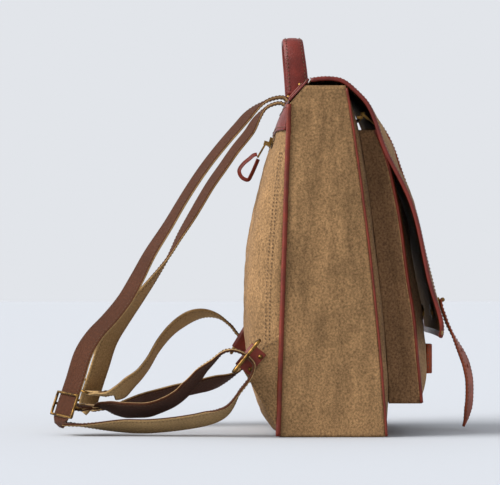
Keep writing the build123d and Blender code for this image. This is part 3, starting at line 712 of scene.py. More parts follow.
# ---------------------------------------------------------------- padded back
def make_padded_back():
    """Stuffed back: canvas over foam, swollen by cloth pressure and held at its seams."""
    half = HALF_WIDTH - CANVAS - 0.3
    low, high = 3.2, SEAM_TOP - 0.6

    def point(u, v):
        x, z = mix(-half, half, u), mix(low, high, v)
        return (x, back_y(x * 0.998, z), z)

    def inward(u, v):
        x, z = mix(-half, half, u), mix(low, high, v)
        return (0, seam_y(z, 1) - CANVAS - back_y(x * 0.998, z), 0)

    pad = slab("padded_back", point, inward, 56, 66, ["canvas"])
    start = [v.co.copy() for v in pad.data.vertices]
    start = swell(pad, trim().padding_rise)
    for v, rest in zip(pad.data.vertices, start):
        p = rest / MM
        hold = smooth((half - abs(p.x)) / 22) * smooth((p.z - low) / 24) * smooth((high - p.z) / 24)
        if p.y < seam_y(p.z, 1) - 1.5:
            continue
        v.co.y += (ripple(p.x, 0, p.z * 0.7, 4, 46) * cloth().wrinkle_depth * 0.8 - 0.5) * hold * MM
    settle(pad, "bag", "panel_canvas", "back_panel", "back_foam")
    seam = Seam()
    for inset in (7.0, 10.5):
        rows = []
        for sign in (-1, 1):
            heights = [mix(20, 318, t) for t in shares(40)]
            rows.append([(sign * (half - inset), z) for z in heights])
        for row in rows:
            line = [Vector((x, back_y(x, z) + 0.9, z)) for x, z in row]
            seam.row(line, [(0.4 if line[0].x > 0 else -0.4, 0.9, 0)] * 2, cloth().stitch_pitch)
    settle(seam.sew("back_edge_stitches"), "bag", "canvas")


def swell(pad, most):
    """Inflates a closed pad with cloth pressure, its seams held; returns its points."""
    bpy.context.view_layer.objects.active = pad
    pad.select_set(True)
    remesh = pad.modifiers.new("even mesh", "REMESH")
    remesh.mode = "VOXEL"
    remesh.voxel_size = 5.5 * MM
    bpy.ops.object.modifier_apply(modifier=remesh.name)
    rest = [v.co.copy() for v in pad.data.vertices]
    stuffed = pad.modifiers.new("stuffing", "CLOTH")
    settings = stuffed.settings
    settings.use_pressure = True
    settings.uniform_pressure_force = 4.0
    settings.effector_weights.gravity = 0.0
    settings.quality = 4
    settings.tension_stiffness = 20
    settings.compression_stiffness = 20
    settings.bending_stiffness = 1.2
    for number in range(1, 21):
        bpy.context.scene.frame_set(number)
    held = pad.evaluated_get(bpy.context.evaluated_depsgraph_get())
    blown = [v.co.copy() for v in held.data.vertices]
    pad.modifiers.remove(stuffed)
    bpy.context.scene.frame_set(1)
    half = HALF_WIDTH - CANVAS
    for v, before, after in zip(pad.data.vertices, rest, blown):
        hold = smooth((half - abs(before.x) / MM) / 30) * smooth(before.z / MM / 30)
        hold *= smooth((SEAM_TOP - before.z / MM) / 30)
        move = after - before
        if move.length > most * MM:
            move = move.normalized() * most * MM
        v.co = before + move * hold
    even_out = pad.modifiers.new("finer cloth", "SUBSURF")
    even_out.levels = even_out.render_levels = 1
    bpy.ops.object.modifier_apply(modifier=even_out.name)
    pad.select_set(False)
    pad.data.materials.clear()
    pad.data.materials.append(PAINT["canvas"])
    pad.data.shade_smooth()
    return [v.co.copy() for v in pad.data.vertices]


# ---------------------------------------------------------------- piping
def make_piping():
    """Round leather piping in the corner seams."""
    heights = [0.6, 20, 60, 110, 170, 230, 290, 330, 355, SEAM_TOP - 1]
    for name, ahead, radius in (("rear_piping", 1, 2.7), ("front_piping", -1, 1.4)):
        made = []
        for hand, sign in HANDS:
            line = [(sign * (HALF_WIDTH + 1.0), seam_y(z, ahead) + ahead * 1.0, z) for z in heights]
            if ahead < 0:
                line.append((sign * (HALF_WIDTH + 0.6), seam_y(BAG_HEIGHT - 3, -1) - 0.4, BAG_HEIGHT - 3))
            line = spline(line, 90)
            waver = [(ripple(0, 0, p.z, 2, 22) * 0.35, ripple(0, 0, p.z, 8, 26) * 0.4, 0) for p in line]
            line = [p + Vector(shift) for p, shift in zip(line, waver)]
            cord = tube(f"{name}_{hand}", line, radius, "leather_dark")
            made.append(cord)
        settle(made[0], "bag", "leather", name)
        for piece in made[1:]:
            settle(piece, "bag", "leather")


# ---------------------------------------------------------------- front pocket
def pocket_edge_y(z):
    """How far forward the pocket reaches at its sides."""
    return pocket_y(POCKET_HALF - 0.4, z)


def make_pocket():
    """Bulging pocket with bellows sides, bound with piping, its mouth a little open."""
    low, high = POCKET_LOW.z + 0.3, POCKET_HIGH.z - 0.3

    def point(u, v):
        x, z = mix(-POCKET_HALF, POCKET_HALF, u), mix(low, high, v)
        hold = smooth(u * 9) * smooth((1 - u) * 9) * smooth(v * 10) * smooth((1 - v) * 10)
        slack = ripple(x, 0, z * 0.6, 11, 44) * cloth().wrinkle_depth * 1.1 * hold
        return (x, pocket_y(x * 0.996, z) + slack - 0.4 * hold, z)

    front = slab("pocket_front_cloth", point, lambda u, v: (0, 2.0, 0), 60, 72, ["canvas"])
    settle(front, "bag", "canvas", "pocket_front")
    for hand, sign in HANDS:
        def side(u, v, sign=sign):
            z = mix(low, high, v)
            y = mix(front_y(sign * POCKET_HALF, z) - 0.6, pocket_edge_y(z) + 0.5, u)
            fold = 5.5 * (1 - abs(2 * u - 1)) ** 1.2 * smooth(v * 6) * smooth((1 - v) * 5)
            wave = ripple(0, y, z * 0.5, 13 + sign, 40) * 1.4 * smooth(u * 6) * smooth((1 - u) * 6)
            return (sign * (POCKET_HALF - fold + wave), y, z)

        # the pocket's sides get the darkened canvas, painted shade for the shadow they stand in
        cheek = slab(f"pocket_side_{hand}", side, lambda u, v, sign=sign: (-sign * 1.8, 0, 0), 26, 70,
                     ["canvas_painted_shade"])
        settle(cheek, "bag", "canvas", f"pocket_gusset_{hand}")
        heights = [low + 0.8, 60, 90, 133, 180, 243, 297, 325, high]
        line = spline([(sign * (POCKET_HALF + 0.9), pocket_edge_y(z) - 1.0, z) for z in heights], 80)
        cord = tube(f"pocket_piping_{hand}", line, 1.8, "leather_dark")
        settle(cord, "bag", "leather", *(["pocket_piping"] if sign < 0 else []))
        seam = Seam()
        seam.row([p + Vector((-sign * 5, 0, 0)) + Vector((0, pocket_y(p.x - sign * 5, p.z) - p.y - 0.5, 0))
                  for p in line], [(0, -1, 0)] * 2, cloth().stitch_pitch)
        settle(seam.sew(f"pocket_edge_stitches_{hand}"), "bag", "canvas")

    def under(u, v):
        x = mix(-POCKET_HALF + 2.4, POCKET_HALF - 2.4, u)
        y = mix(front_y(0, low) - 0.6, pocket_y(x * 0.98, low) + 2.0, v)
        return (x, y, low + 0.4)

    # the pocket floor gets the darkened canvas too, painted shade
    bottom = slab("pocket_bottom", under, lambda u, v: (0, 0, 1.8), 30, 12, ["canvas_painted_shade"])
    settle(bottom, "bag", "canvas", "pocket_floor")
    tape_low, tape_high = (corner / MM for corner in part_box("pocket_zip_tapes"))
    for name, y, z in (("rear", tape_high.y - 1.8, tape_high.z), ("front", tape_low.y + 1.4, high - 0.3)):
        line = [Vector((mix(tape_low.x, tape_high.x, t), y, z)) for t in shares(30)]
        tape, _ = ribbon(f"pocket_zip_tape_{name}", line, [(0, 1, 0.3)] * 30, 3.6, 1.0, ["zip_tape"])
        settle(tape, "bag", "zip_tape", *(["pocket_zip_tapes"] if name == "rear" else []))
    make_keeper()


def make_keeper():
    """Leather loop on the pocket, sewn down at both sides, that holds the closing strap."""
    low, high = (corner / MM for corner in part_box("strap_keeper"))
    half = high.x
    depth = high.y - low.y
    arm = [(half, high.y - 0.9, 0), (half - 3.5, high.y - 1.2, 0), (half - 5.5, high.y - depth * 0.62, 0),
           (half - 9, low.y + 1.2, 0)]
    line = [(-x, y, z) for x, y, z in arm] + [(0, low.y + 1.0, 0)] + arm[::-1]
    middle = (low.z + high.z) / 2
    line = [p + Vector((0, 0, middle)) for p in spline(line, 60)]
    loop, _ = ribbon("closing_keeper", line, [(0, 0, 1)] * 60, high.z - low.z, 2.0, ["leather_tan"])
    settle(loop, "bag", "leather", "strap_keeper")
    seam = Seam()
    for x in (-half + 2.0, half - 2.0):
        row = [Vector((x, high.y - 2.1, mix(low.z + 3, high.z - 3, t))) for t in shares(8)]
        seam.row(row, [(0, -1, 0)] * 8, 3.6)
    settle(seam.sew("keeper_stitches"), "bag", "leather")


# ---------------------------------------------------------------- flap
TOP_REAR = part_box("flap_top_canvas")[1].y / MM - 0.2
TOP_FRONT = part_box("flap_top_canvas")[0].y / MM + 0.3
FLAP_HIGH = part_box("flap_front_canvas")[1].z / MM - 0.4
FLAP_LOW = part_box("flap_front_binding")[0].z / MM + 1.2
FLAP_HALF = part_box("flap_front_binding")[1].x / MM
TOP_SHARE = 0.16
FLAP_BEND = ("flap_front", (0, -10, 402), (0, -34, 380))


def flap_point(x, s, lift=0.0):
    """A point on the flap's outer side: s runs from the rear hinge over the top to the lower edge."""
    x_in = max(-FLAP_HALF + 1, min(FLAP_HALF - 1, x))
    if s < TOP_SHARE - 0.012:
        y = mix(TOP_REAR, TOP_FRONT, s / TOP_SHARE)
        return FLAP_TOP_SKIN.hit((x_in, y, BAG_HEIGHT + 60), (0, 0, -1)) + Vector((x - x_in, 0, lift))
    t = max(0.0, (s - TOP_SHARE - 0.012) / (1 - TOP_SHARE - 0.012))
    z = mix(FLAP_HIGH, FLAP_LOW, t)
    found = FLAP_SKIN.hit((x_in, -FAR, z), (0, 1, 0))
    if s < TOP_SHARE + 0.012:
        share = (s - TOP_SHARE + 0.012) / 0.024
        start = FLAP_TOP_SKIN.hit((x_in, TOP_FRONT, BAG_HEIGHT + 60), (0, 0, -1))
        found = start.lerp(found, share)
    return found + Vector((x - x_in, -lift * 0.88, lift * 0.47))


class FlapShape:
    """The flap's surface worked out once on a grid, then read smoothly anywhere."""

    columns, rows = 25, 70

    def __init__(self):
        self.grid = []
        for j in range(self.rows):
            row = [flap_point(mix(-FLAP_HALF, FLAP_HALF, i / (self.columns - 1)), j / (self.rows - 1))
                   for i in range(self.columns)]
            self.grid.append(row)
        for _ in range(3):
            eased = [[p.copy() for p in row] for row in self.grid]
            for j in range(1, self.rows - 1):
                for i in range(self.columns):
                    eased[j][i] = (self.grid[j - 1][i] + self.grid[j][i] * 2 + self.grid[j + 1][i]) / 4
            self.grid = eased

    def at(self, x, s):
        u = (x + FLAP_HALF) / (2 * FLAP_HALF) * (self.columns - 1)
        v = min(1.0, max(0.0, s)) * (self.rows - 1)
        i, j = min(int(max(u, 0)), self.columns - 2), min(int(v), self.rows - 2)
        a = self.grid[j][i].lerp(self.grid[j][i + 1], u - i)
        b = self.grid[j + 1][i].lerp(self.grid[j + 1][i + 1], u - i)
        return a.lerp(b, v - j)

    def out(self, x, s):
        """Outward direction of the surface."""
        x = max(-FLAP_HALF + 2, min(FLAP_HALF - 2, x))
        across = self.at(x + 1.5, s) - self.at(x - 1.5, s)
        down = self.at(x, min(1, s + 0.02)) - self.at(x, max(0, s - 0.02))
        return down.cross(across).normalized() * -1


def make_flap():
    """Canvas flap over the top and down the front, lined, bound in leather, with its closing strap."""
    shape = FlapShape()
    probe = shape.out(0, 0.6)
    turn = 1 if probe.y < 0 else -1
    inner = FLAP_HALF - 2.5

    def out(x, s):
        return shape.out(x, s) * turn

    def point(u, v):
        x, s = mix(-inner, inner, u), mix(0.0, 0.99, v)
        hold = smooth(u * 8) * smooth((1 - u) * 8) * smooth(v * 6) * smooth((1 - v) * 9)
        drape = ripple(x, 0, v * 260, 21, 55) * cloth().wrinkle_depth * 0.8 * hold
        return shape.at(x, s) + out(x, s) * drape

    def inwards(u, v):
        return out(mix(-inner, inner, u), mix(0, 0.99, v)) * -1

    face = slab("flap_canvas", point, lambda u, v: inwards(u, v) * 1.5, 46, 96, ["canvas"])
    settle(face, "flap_top", "canvas", "flap_top_canvas", "flap_front_canvas", bend=FLAP_BEND)

    def under(u, v):
        return Vector(point(u, v)) + out(mix(-inner, inner, u), mix(0, 0.99, v)) * -1.65

    back = slab("flap_lining", under, lambda u, v: inwards(u, v) * 0.8, 40, 80, ["lining"])
    settle(back, "flap_top", "lining", "flap_top_lining", "flap_front_lining", bend=FLAP_BEND)

    rim = [(-FLAP_HALF + 3, s) for s in shares(60)[:-3]]
    corner = 14.0
    for t in shares(7):
        turn_at = math.pi / 2 * t
        rim.append((-FLAP_HALF + 3 + corner * (1 - math.cos(turn_at)), 0.945 + 0.046 * math.sin(turn_at)))
    rim += [(x, 0.991) for x in [mix(-FLAP_HALF + 20, 0, t) for t in shares(10)]]
    rim = rim + [(-x, s) for x, s in reversed(rim[:-1])]
    line = even([shape.at(x, s) + out(x, s) * -1.2 for x, s in rim], 300)
    outs, spots = [], even([Vector((x, s * 300, 0)) for x, s in rim], 300)
    for spot in spots:
        outs.append(out(spot.x, spot.y / 300))
    across = []
    for i, normal in enumerate(outs):
        along = (line[min(i + 1, 299)] - line[max(i - 1, 0)]).normalized()
        across.append(along.cross(normal))
    band, _ = ribbon("flap_binding", line, across, 7.0, 4.2, ["leather"], crown=0.2)
    settle(band, "flap_top", "leather", "flap_top_binding", "flap_front_binding", bend=FLAP_BEND)
    seam = Seam()
    sewn = [p + n * 2.2 for p, n in zip(line, outs)]
    seam.row(sewn, outs, cloth().stitch_pitch, 2.7)
    settle(seam.sew("flap_binding_stitches"), "flap_top", "leather", bend=FLAP_BEND)

    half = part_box("centre_strap")[1].x / MM
    stop = 0.885
    places = [mix(0.13, stop, t) for t in shares(80)]
    middle = [shape.at(0, s) + out(0, s) * 1.9 for s in places]
    strip, _ = ribbon("closing_strap_upper", middle, [(1, 0, 0)] * 80, half * 2, 2.4, ["leather_tan"], 0.15)
    settle(strip, "flap_top", "leather", "centre_strap", bend=FLAP_BEND)
    seam = Seam()
    for x in (-half + 3, half - 3):
        row = [p + Vector((x, 0, 0)) + out(0, s) * 1.35 for p, s in zip(middle, places)]
        seam.row(row, [out(0, s) for s in places], cloth().stitch_pitch, 2.7)
    settle(seam.sew("closing_strap_stitches"), "flap_top", "leather", bend=FLAP_BEND)


def make_strap_tail():
    """Loose pointed end of the closing strap, hung from the stud, with punched holes."""
    low, high = (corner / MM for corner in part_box("strap_tail"))
    skin = Skin("strap_tail")
    line, heights = [], [mix(high.z - 0.6, low.z + 0.8, t) for t in shares(16)]
    for z in heights:
        line.append((0, skin.hit((0.3, -FAR, z), (0, 1, 0)).y + 1.5, z))
    line = [(0, line[0][1] + 1.2, high.z + 8.0)] + line
    line = spline(line, 90)
    width = (high.x - low.x)
    widths = []
    for p in line:
        taper = (p.z - low.z) / 22
        widths.append(max(1.6, width * min(1.0, taper ** 0.8 if taper > 0 else 0.05)))
    turns = blended([(0, (1, 0, 0)), (0.2, (1, 0, 0)), (0.5, (0.92, -0.38, 0)), (1, (0.92, -0.38, 0))], 90)
    strip, normals = ribbon("closing_strap_tail", line, turns, widths, 2.8, ["leather_tan"], 0.2)
    settle(strip, "strap_tail", "leather", "strap_tail")
    seam = Seam()
    for side in (-1, 1):
        for turn in (-1, 1):
            row = [p + wide * (side * max(0.6, w / 2 - 2.6)) + face * (turn * 1.5)
                   for p, w, (wide, face) in zip(line, widths, normals)]
            seam.row(row[4:-6], [face * turn for _, face in normals[4:-6]], cloth().stitch_pitch, 2.6, 0.36)
    settle(seam.sew("tail_stitches"), "strap_tail", "leather")
    for number, share in enumerate((0.30, 0.42, 0.54)):
        i = int(share * 89)
        along = (line[i + 1] - line[i - 1]).normalized()
        face = along.cross(Vector((1, 0, 0)))
        centre = line[i] + face * (-1.5 if face.y > 0 else 1.5)
        ring = lathe(f"strap_hole_{number}", centre, face, [(2.6, -0.3), (2.7, 0.1), (2.2, 0.4), (1.5, 0.1),
                                                            (1.3, -0.2)], "leather_dark", 16)
        settle(ring, "strap_tail", "leather")


# ---------------------------------------------------------------- top: slope leather, yoke and handle
def make_top():
    """Sloped leather at the top rear, the yoke below it, and the handle."""
    low, high = (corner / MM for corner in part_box("top_band"))
    yoke_low, yoke_high = (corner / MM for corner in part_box("back_yoke"))
    start = Vector((0, high.y - 1.9, low.z + 1.4))
    end = Vector((0, low.y + 1.9, high.z - 1.5))
    run = end - start
    out = Vector((0, -run.z, run.y)).normalized() * -1
    if out.z < 0:
        out = out * -1
    half = high.x - 0.5
    tuck = 1.06                 # the leather runs on a little under the flap's rear edge
    run = run * tuck

    def slope(u, v):
        x = mix(-half, half, u)
        bow = ripple(x, 0, v * 30, 31, 60) * 0.5 * smooth(u * 8) * smooth((1 - u) * 8)
        return start + run * v + out * (1.2 + bow) + Vector((x, 0, 0))

    band = slab("slope_leather", slope, lambda u, v: out * -2.3, 60, 12, ["leather"])
    settle(band, "bag", "leather", "top_band")

    def yoke(u, v):
        x = mix(yoke_low.x, yoke_high.x, u)
        z = mix(yoke_low.z, yoke_high.z, v)
        return (x, back_y(x, z) + 3.4, z)

    patch = slab("back_yoke_leather", yoke, lambda u, v: (0, -2.6, 0), 40, 12, ["leather"])
    settle(patch, "bag", "leather", "back_yoke")
    seam = Seam()
    for v in (0.1, 0.9):
        seam.row([slope(u, v) + out * 0.2 for u in shares(30)], [out] * 2, cloth().stitch_pitch)
    for v in (0.12, 0.88):
        seam.row([Vector(yoke(u, v)) + Vector((0, 0.2, 0)) for u in shares(30)], [(0, 1, 0.2)] * 2,
                 cloth().stitch_pitch)
    settle(seam.sew("yoke_stitches"), "bag", "leather")
    make_handle(start, run, out)


def make_handle(start, run, out):
    """Folded leather handle on its edge, with sewn edges, on two riveted patches."""
    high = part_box("handle")[1] / MM
    half = high.x - 2.6
    top = high.z - 2.5
    y_top = 41.8
    foot = Vector((half, 35.6, BAG_HEIGHT + 0.5))
    line = [(-half, foot.y, foot.z - 6), (-half + 0.8, 37.4, BAG_HEIGHT + 18),
            (-half + 3, 39.6, BAG_HEIGHT + 38), (-half + 12, 41.2, top - 3.5), (-half + 26, y_top, top),
            (0, y_top, top + 0.2)]
    line += [(-x, y, z) for x, y, z in reversed(line[:-1])]
    line = spline(line, 110)
    widths = [22.0 + 3.0 * smooth(abs(t - 0.5) * 2) for t in shares(110)]
    grip, normals = ribbon("top_handle", line, [(0, 1, 0)] * 110, widths, 5.0, ["leather"], crown=0.7)
    settle(grip, "handle", "leather", "handle")
    seam = Seam()
    for side in (-1, 1):
        for face_side in (-1, 1):
            row = [p + wide * (side * (w / 2 - 3)) + face * (face_side * 2.75)
                   for p, w, (wide, face) in zip(line, widths, normals)]
            seam.row(row[3:-3], [face * face_side for _, face in normals[3:-3]], cloth().stitch_pitch, 2.8)
    settle(seam.sew("handle_stitches"), "handle", "leather")
    patches = []
    for hand, sign in HANDS:
        def patch(u, v, sign=sign):
            return start + run * mix(0.08, 0.92, v) + out * 3.9 + Vector((sign * 50 + mix(-11, 11, u), 0, 0))

        piece = slab(f"handle_patch_{hand}", patch, lambda u, v: out * -2.6, 12, 14, ["leather_dark"])
        settle(piece, "bag", "leather", *(["handle_anchors"] if sign < 0 else []))
        patches.append(piece)
        for v, dx in ((0.22, -6), (0.22, 6), (0.8, -6), (0.8, 6)):
            spot = start + run * v + out * 3.9 + Vector((sign * 50 + dx, 0, 0))
            settle(rivet(f"handle_rivet_{hand}_{int(v * 100)}_{dx + 6}", spot, out, 2.4), "bag", "brass")


# ---------------------------------------------------------------- back zip
def make_back_zip():
    """The two zip tapes on the padded back and the folded leather pull."""
    low, high = (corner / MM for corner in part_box("back_zip_tape"))
    rise = Vector((0, low.y - high.y, high.z - low.z))
    along = rise.normalized()
    middle = Vector((0, (low.y + high.y) / 2 - 0.3, (low.z + high.z) / 2))
    for name, offset in (("lower", -4.0), ("upper", 4.0)):
        line = [middle + along * offset + Vector((mix(low.x, high.x, t), 0.1, 0)) for t in shares(40)]
        tape, _ = ribbon(f"back_zip_tape_{name}", line, [along] * 40, 6.6, 1.2, ["zip_tape"])
        settle(tape, "bag", "zip_tape", *(["back_zip_tape"] if name == "lower" else []))
    box_low, box_high = (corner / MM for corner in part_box("back_zip_leather"))
    x = (box_low.x + box_high.x) / 2
    foot_y, foot_z = box_low.y + 1.3, box_high.z - 2.6
    loop = [(1.0, 2.2), (5, 1.2), (10, -3), (17, -9), (21.5, -16.5), (18.5, -24.0), (11.5, -27),
            (7.5, -21.0), (3.4, -12.0), (-0.3, -3.2)]
    line = spline([(x, foot_y + a, foot_z + b) for a, b in loop], 70)
    runs = [(b - a).normalized() for a, b in zip(line, line[1:])]
    turned = [Vector((0.62, 0, 0)) + Vector((1, 0, 0)).cross(run) * 0.78 for run in runs + runs[-1:]]
    strap, _ = ribbon("back_zip_pull_leather", line, turned, 5.2, 1.5, ["leather_dark"])
    settle(strap, "back_pull", "leather", "back_zip_leather")


# ---------------------------------------------------------------- shoulder straps
UPPER = {
    "left": [(-48, 46, 379), (-48, 54, 384.4), (-51, 70, 381), (-55, 86.5, 370.5), (-59, 106, 349),
             (-63, 126.5, 325), (-66, 146, 299.5), (-70, 165.5, 269.8), (-74, 185, 237), (-78, 205, 205.5),
             (-82, 220, 177), (-86, 233.5, 153), (-90, 250, 132), (-94, 267.5, 113), (-97.2, 280.5, 92),
             (-101, 290, 62), (-106.2, 303, 21), (-107.2, 300, 13)],
    "right": [(48, 46, 377), (48, 54, 381.6), (51, 68, 377.5), (55, 79.5, 365), (59, 91, 347),
              (63, 107, 327), (66, 121, 307), (70, 137, 284), (74, 156, 252), (78, 172.5, 225),
              (82, 187, 199), (86, 206, 172), (90, 224, 148.5), (94, 243, 123), (97.2, 258, 99),
              (101, 268, 69), (106.2, 281, 28), (107.2, 278, 19)],
}
LOWER = {
    "left": [(-107, 301, 12.5), (-110, 284, 11.2), (-113, 264, 10.5), (-116, 235, 10.6), (-120, 204, 10.6),
             (-126, 166, 14.8), (-134, 137, 21.5), (-147, 118, 33.5), (-159, 104, 51), (-163.5, 91.5, 68),
             (-163.5, 88, 81), (-162, 94, 89.5)],
    "right": [(107, 278, 18), (110, 258, 20.5), (113, 244, 23.5), (116, 226, 28), (119, 204, 33.5),
              (124, 178, 40), (130, 160, 43), (138, 142, 47), (152, 122, 51), (161.5, 105, 60),
              (164, 92, 74), (163.5, 87.5, 89), (162, 94, 100.5)],
}
RETURN = {
    "left": [(-161, 92.0, 87.4), (-162, 100, 93.8), (-162, 111, 97.5), (-159, 122, 95.5), (-152, 133, 87),
             (-143, 146, 75), (-134, 158, 60.5), (-126, 171, 46.5), (-121, 186, 36.5), (-118, 206, 29.5),
             (-108, 228, 28.2), (-95, 248, 29), (-86, 262, 30.2), (-84.5, 272.2, 31)],
    "right": [(161, 93.0, 99.9), (162, 103, 107), (162, 112, 118), (157, 126, 127.5), (148, 145, 131),
              (139, 164, 126.5), (131, 182, 114), (125, 198, 95), (115, 211, 73), (102, 224, 57),
              (90, 238, 45), (84.5, 250.2, 38.8)],
}
STRAP_WIDTH, STRAP_WALL = 35.0, 3.2
RING_GATHER = 15.0              # the strap's width inside the ring
GATHER_KEEP, GATHER_RUN = 16.0, 34.0   # stays narrow this far from the ring, then widens over this length


def slide_place(hand):
    """Middle of the slide adjuster, and its directions along, across and out of the strap."""
    sign = -1 if hand == "left" else 1
    top, end = Vector(UPPER[hand][-3]), Vector(UPPER[hand][-2])
    along = (end - top).normalized()
    across = Vector((sign * -0.80, 0.5, 0.3))
    across = (across - along * across.dot(along)).normalized()
    front = along.cross(across)
    return top + (end - top) * 0.70, along, across, front * (-1 if front.y > 0 else 1)


def gathered(line, stop):
    """The strap's width along a line, bunched narrow where it passes the ring at stop."""
    clear = [((p - stop).length - GATHER_KEEP) / GATHER_RUN for p in line]
    return [mix(RING_GATHER, STRAP_WIDTH, min(1.0, max(0.0, share))) for share in clear]


def tie(line, across, name, paints, body, *nodes, bend=None, widths=None):
    """One run of strap, with a row of stitches near each edge on both faces."""
    widths = widths or [STRAP_WIDTH] * len(line)
    made, normals = ribbon(name, line, across, widths, STRAP_WALL, paints)
    settle(made, body, "strap_canvas", *nodes, bend=bend)
    seam = Seam()
    for side in (-1, 1):
        for face_side in (-1, 1):
            row = [p + wide * (side * w * 0.4) + face * (face_side * STRAP_WALL / 2)
                   for p, w, (wide, face) in zip(line, widths, normals)]
            facing = [face * face_side for _, face in normals[2:-2]]
            seam.row(row[2:-2], facing, cloth().stitch_pitch, 2.9, 0.32)
    settle(seam.sew(f"{name}_stitches"), body, "strap_canvas", bend=bend)


def make_slide(hand, centre, along, across, front):
    """Slim brass slide: a wire frame behind the strap, with its middle bar raised in front."""
    half = STRAP_WIDTH / 2 + 2.4
    reach, wire = 13, 1.6       # half its length, and the wire's radius
    back = front * -3.3
    corners = [(-half, -reach), (half, -reach), (half, reach), (-half, reach), (-half, -reach)]
    hoop = []
    for (x, y), (u, v) in zip(corners, corners[1:]):
        hoop += [centre + back + across * mix(x, u, t) + along * mix(y, v, t) for t in shares(6)[:-1]]
    pieces = [tube(f"slide_frame_{hand}", hoop + [hoop[0]], wire, "brass")]
    arch = [(-half, -2.6), (-half, 4), (-half + 2, 7.0), (0, 7.1), (half - 2, 7.0), (half, 4), (half, -2.6)]
    line = spline([centre + across * x + front * z for x, z in arch], 50)
    pieces.append(tube(f"slide_bar_{hand}", line, wire, "brass"))
    settle(pieces[0], f"{hand}_slide", "brass", f"slide_adjuster_{hand}")
    settle(pieces[1], f"{hand}_slide", "brass")


def make_straps():
    """Two slack shoulder straps: down through the slide, along the floor, and back through the ring."""
    for hand, sign in HANDS:
        body = f"{hand}_strap"
        centre, along, across, front = slide_place(hand)
        goal = across if across.x > 0 else across * -1
        line = spline(UPPER[hand], 170)
        turned = (0.96, 0.21, 0.18)
        wide = blended([(0, (1, 0, 0)), (0.05, (1, 0, 0)), (0.13, turned), (0.36, turned), (0.82, goal),
                        (1, goal)], 170)
        top = Vector(UPPER[hand][1])
        tie(line, wide, f"upper_strap_{hand}", ["strap_tan", "strap_brown"], "bag",
            f"shoulder_strap_{hand}", bend=(body, tuple(top), (sign * 59, 106, 348)))
        flat = Vector((sign * 0.97, 0, 0))
        tilt = Vector((sign * 0.88, 0, sign * -0.45))
        line = spline(LOWER[hand], 150)
        wide = blended([(0, flat), (0.3, tilt), (0.62, tilt), (0.84, flat), (1, flat)], 150)
        tie(line, wide, f"lower_run_{hand}", ["strap_tan", "strap_brown"], body, f"lower_strap_{hand}",
            widths=gathered(line, line[-1]))
        roll = centre + front * 7.0
        away = Vector((sign * 0.594, 0.804, 0))
        ends = [roll - away * 22, roll - away * 12, roll - away * 4.6 + front * 2.4,
                roll + front * 4.4 + away * 1.5, roll + away * 4.4, roll - front * 4.2 + away * 0.5,
                roll - away * 9 - front * 3.2, roll - away * 20 - front * 3.6]
        line = spline([Vector(p) for p in RETURN[hand]] + ends, 260)
        far = goal * sign
        wide = blended([(0, flat), (0.1, flat), (0.34, tilt), (0.66, tilt), (0.8, far), (1, far)], 260)
        tie(line, wide, f"return_run_{hand}", ["strap_tan", "strap_brown"], body,
            f"return_strap_{hand}", f"strap_fold_{hand}", widths=gathered(line, line[0]),
            bend=(f"{hand}_slide", tuple(Vector(RETURN[hand][-3])), tuple(roll - away * 14)))
        make_slide(hand, centre, along, across, front)
        stud = rivet(f"strap_rivet_{hand}", roll - away * 13 + along * -1.8, front * -1 + along * -1.4, 4.4)
        settle(stud, f"{hand}_slide", "brass")


# ---------------------------------------------------------------- ring anchors
def make_ring_anchors():
    """Canvas triangles sewn into the rear seams, each with a leather roll round the ring's bar."""
    for hand, sign in HANDS:
        low, high = (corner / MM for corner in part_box(f"ring_{hand}"))
        bar = Vector((sign * 148.7, (low.y + high.y) / 2, (low.z + high.z) / 2))
        slope = Vector((0, 0.634, -0.774) if hand == "left" else (0, 0.52, -0.854))
        out = Vector((0, -slope.z, slope.y))
        edge = bar - out * 7.5
        a, b = edge - slope * 15, edge + slope * 15
        top, bottom = 116.0, 10.0

        def fin(u, v, sign=sign, a=a, b=b, top=top, bottom=bottom):
            z = mix(bottom, top, v)
            root = Vector((0, seam_y(z, 1) + 2.0, z))
            tip = b.lerp(a, v)
            at = root.lerp(Vector((0, tip.y, tip.z)), u)
            bow = ripple(0, at.y, at.z, 17, 30) * 0.9 * smooth(u * 4) * smooth((1 - u) * 4)
            return (sign * (HALF_WIDTH + 0.2 + bow), at.y, at.z)

        patch = slab(f"ring_triangle_{hand}", fin, lambda u, v, sign=sign: (-sign * 2.8, 0, 0), 22, 36,
                     ["canvas"])
        settle(patch, "bag", "canvas", f"anchor_triangle_{hand}")
        seam = Seam()
        for v in (0.06, 0.94):
            line = [Vector(fin(u, v)) + Vector((sign * 0.1, 0, 0)) for u in shares(12)]
            seam.row(line, [(sign, 0, 0)] * 2, cloth().stitch_pitch)
        settle(seam.sew(f"triangle_stitches_{hand}"), "bag", "canvas")
        side = Vector((sign, 0, 0))
        turn_radius = 3.2
        loop = [edge - out * 9 + side * 2.4, edge - out * 2 + side * 2.6]
        for k in range(9):
            turn = math.pi * (0.5 - k / 8 * 1.0)
            loop.append(bar + side * math.sin(turn) * turn_radius + out * math.cos(turn) * turn_radius)
        loop += [edge - out * 2 - side * 2.6, edge - out * 9 - side * 2.6]
        line = spline(loop, 70)
        roll, _ = ribbon(f"ring_loop_{hand}", line, [slope] * 70, 30, 1.7, ["leather_dark"])
        settle(roll, "bag", "leather", f"ring_tab_{hand}")
        for offset in (-9, 9):
            spot = edge - out * 5.5 + slope * offset + side * 3.2
            settle(rivet(f"ring_rivet_{hand}_{offset + 9}", spot, side, 2.6), "bag", "brass")


# ---------------------------------------------------------------- inside and hardware
# the frame's node, the piece's name, and how much it is rumpled
INSIDE = (("lining", "bag_lining", 1.0), ("padded_sleeve", "inner_sleeve", 0.8),
          ("slip_pocket", "inner_pocket", 0.8))
METAL = ("ring_left", "ring_right", "closure_stud", "snap_cap",
         "snap_socket", "pocket_zip_slider", "pocket_zip_pull", "pocket_zip_teeth", "back_zip_slider",
         "back_zip_tab", "back_zip_teeth")


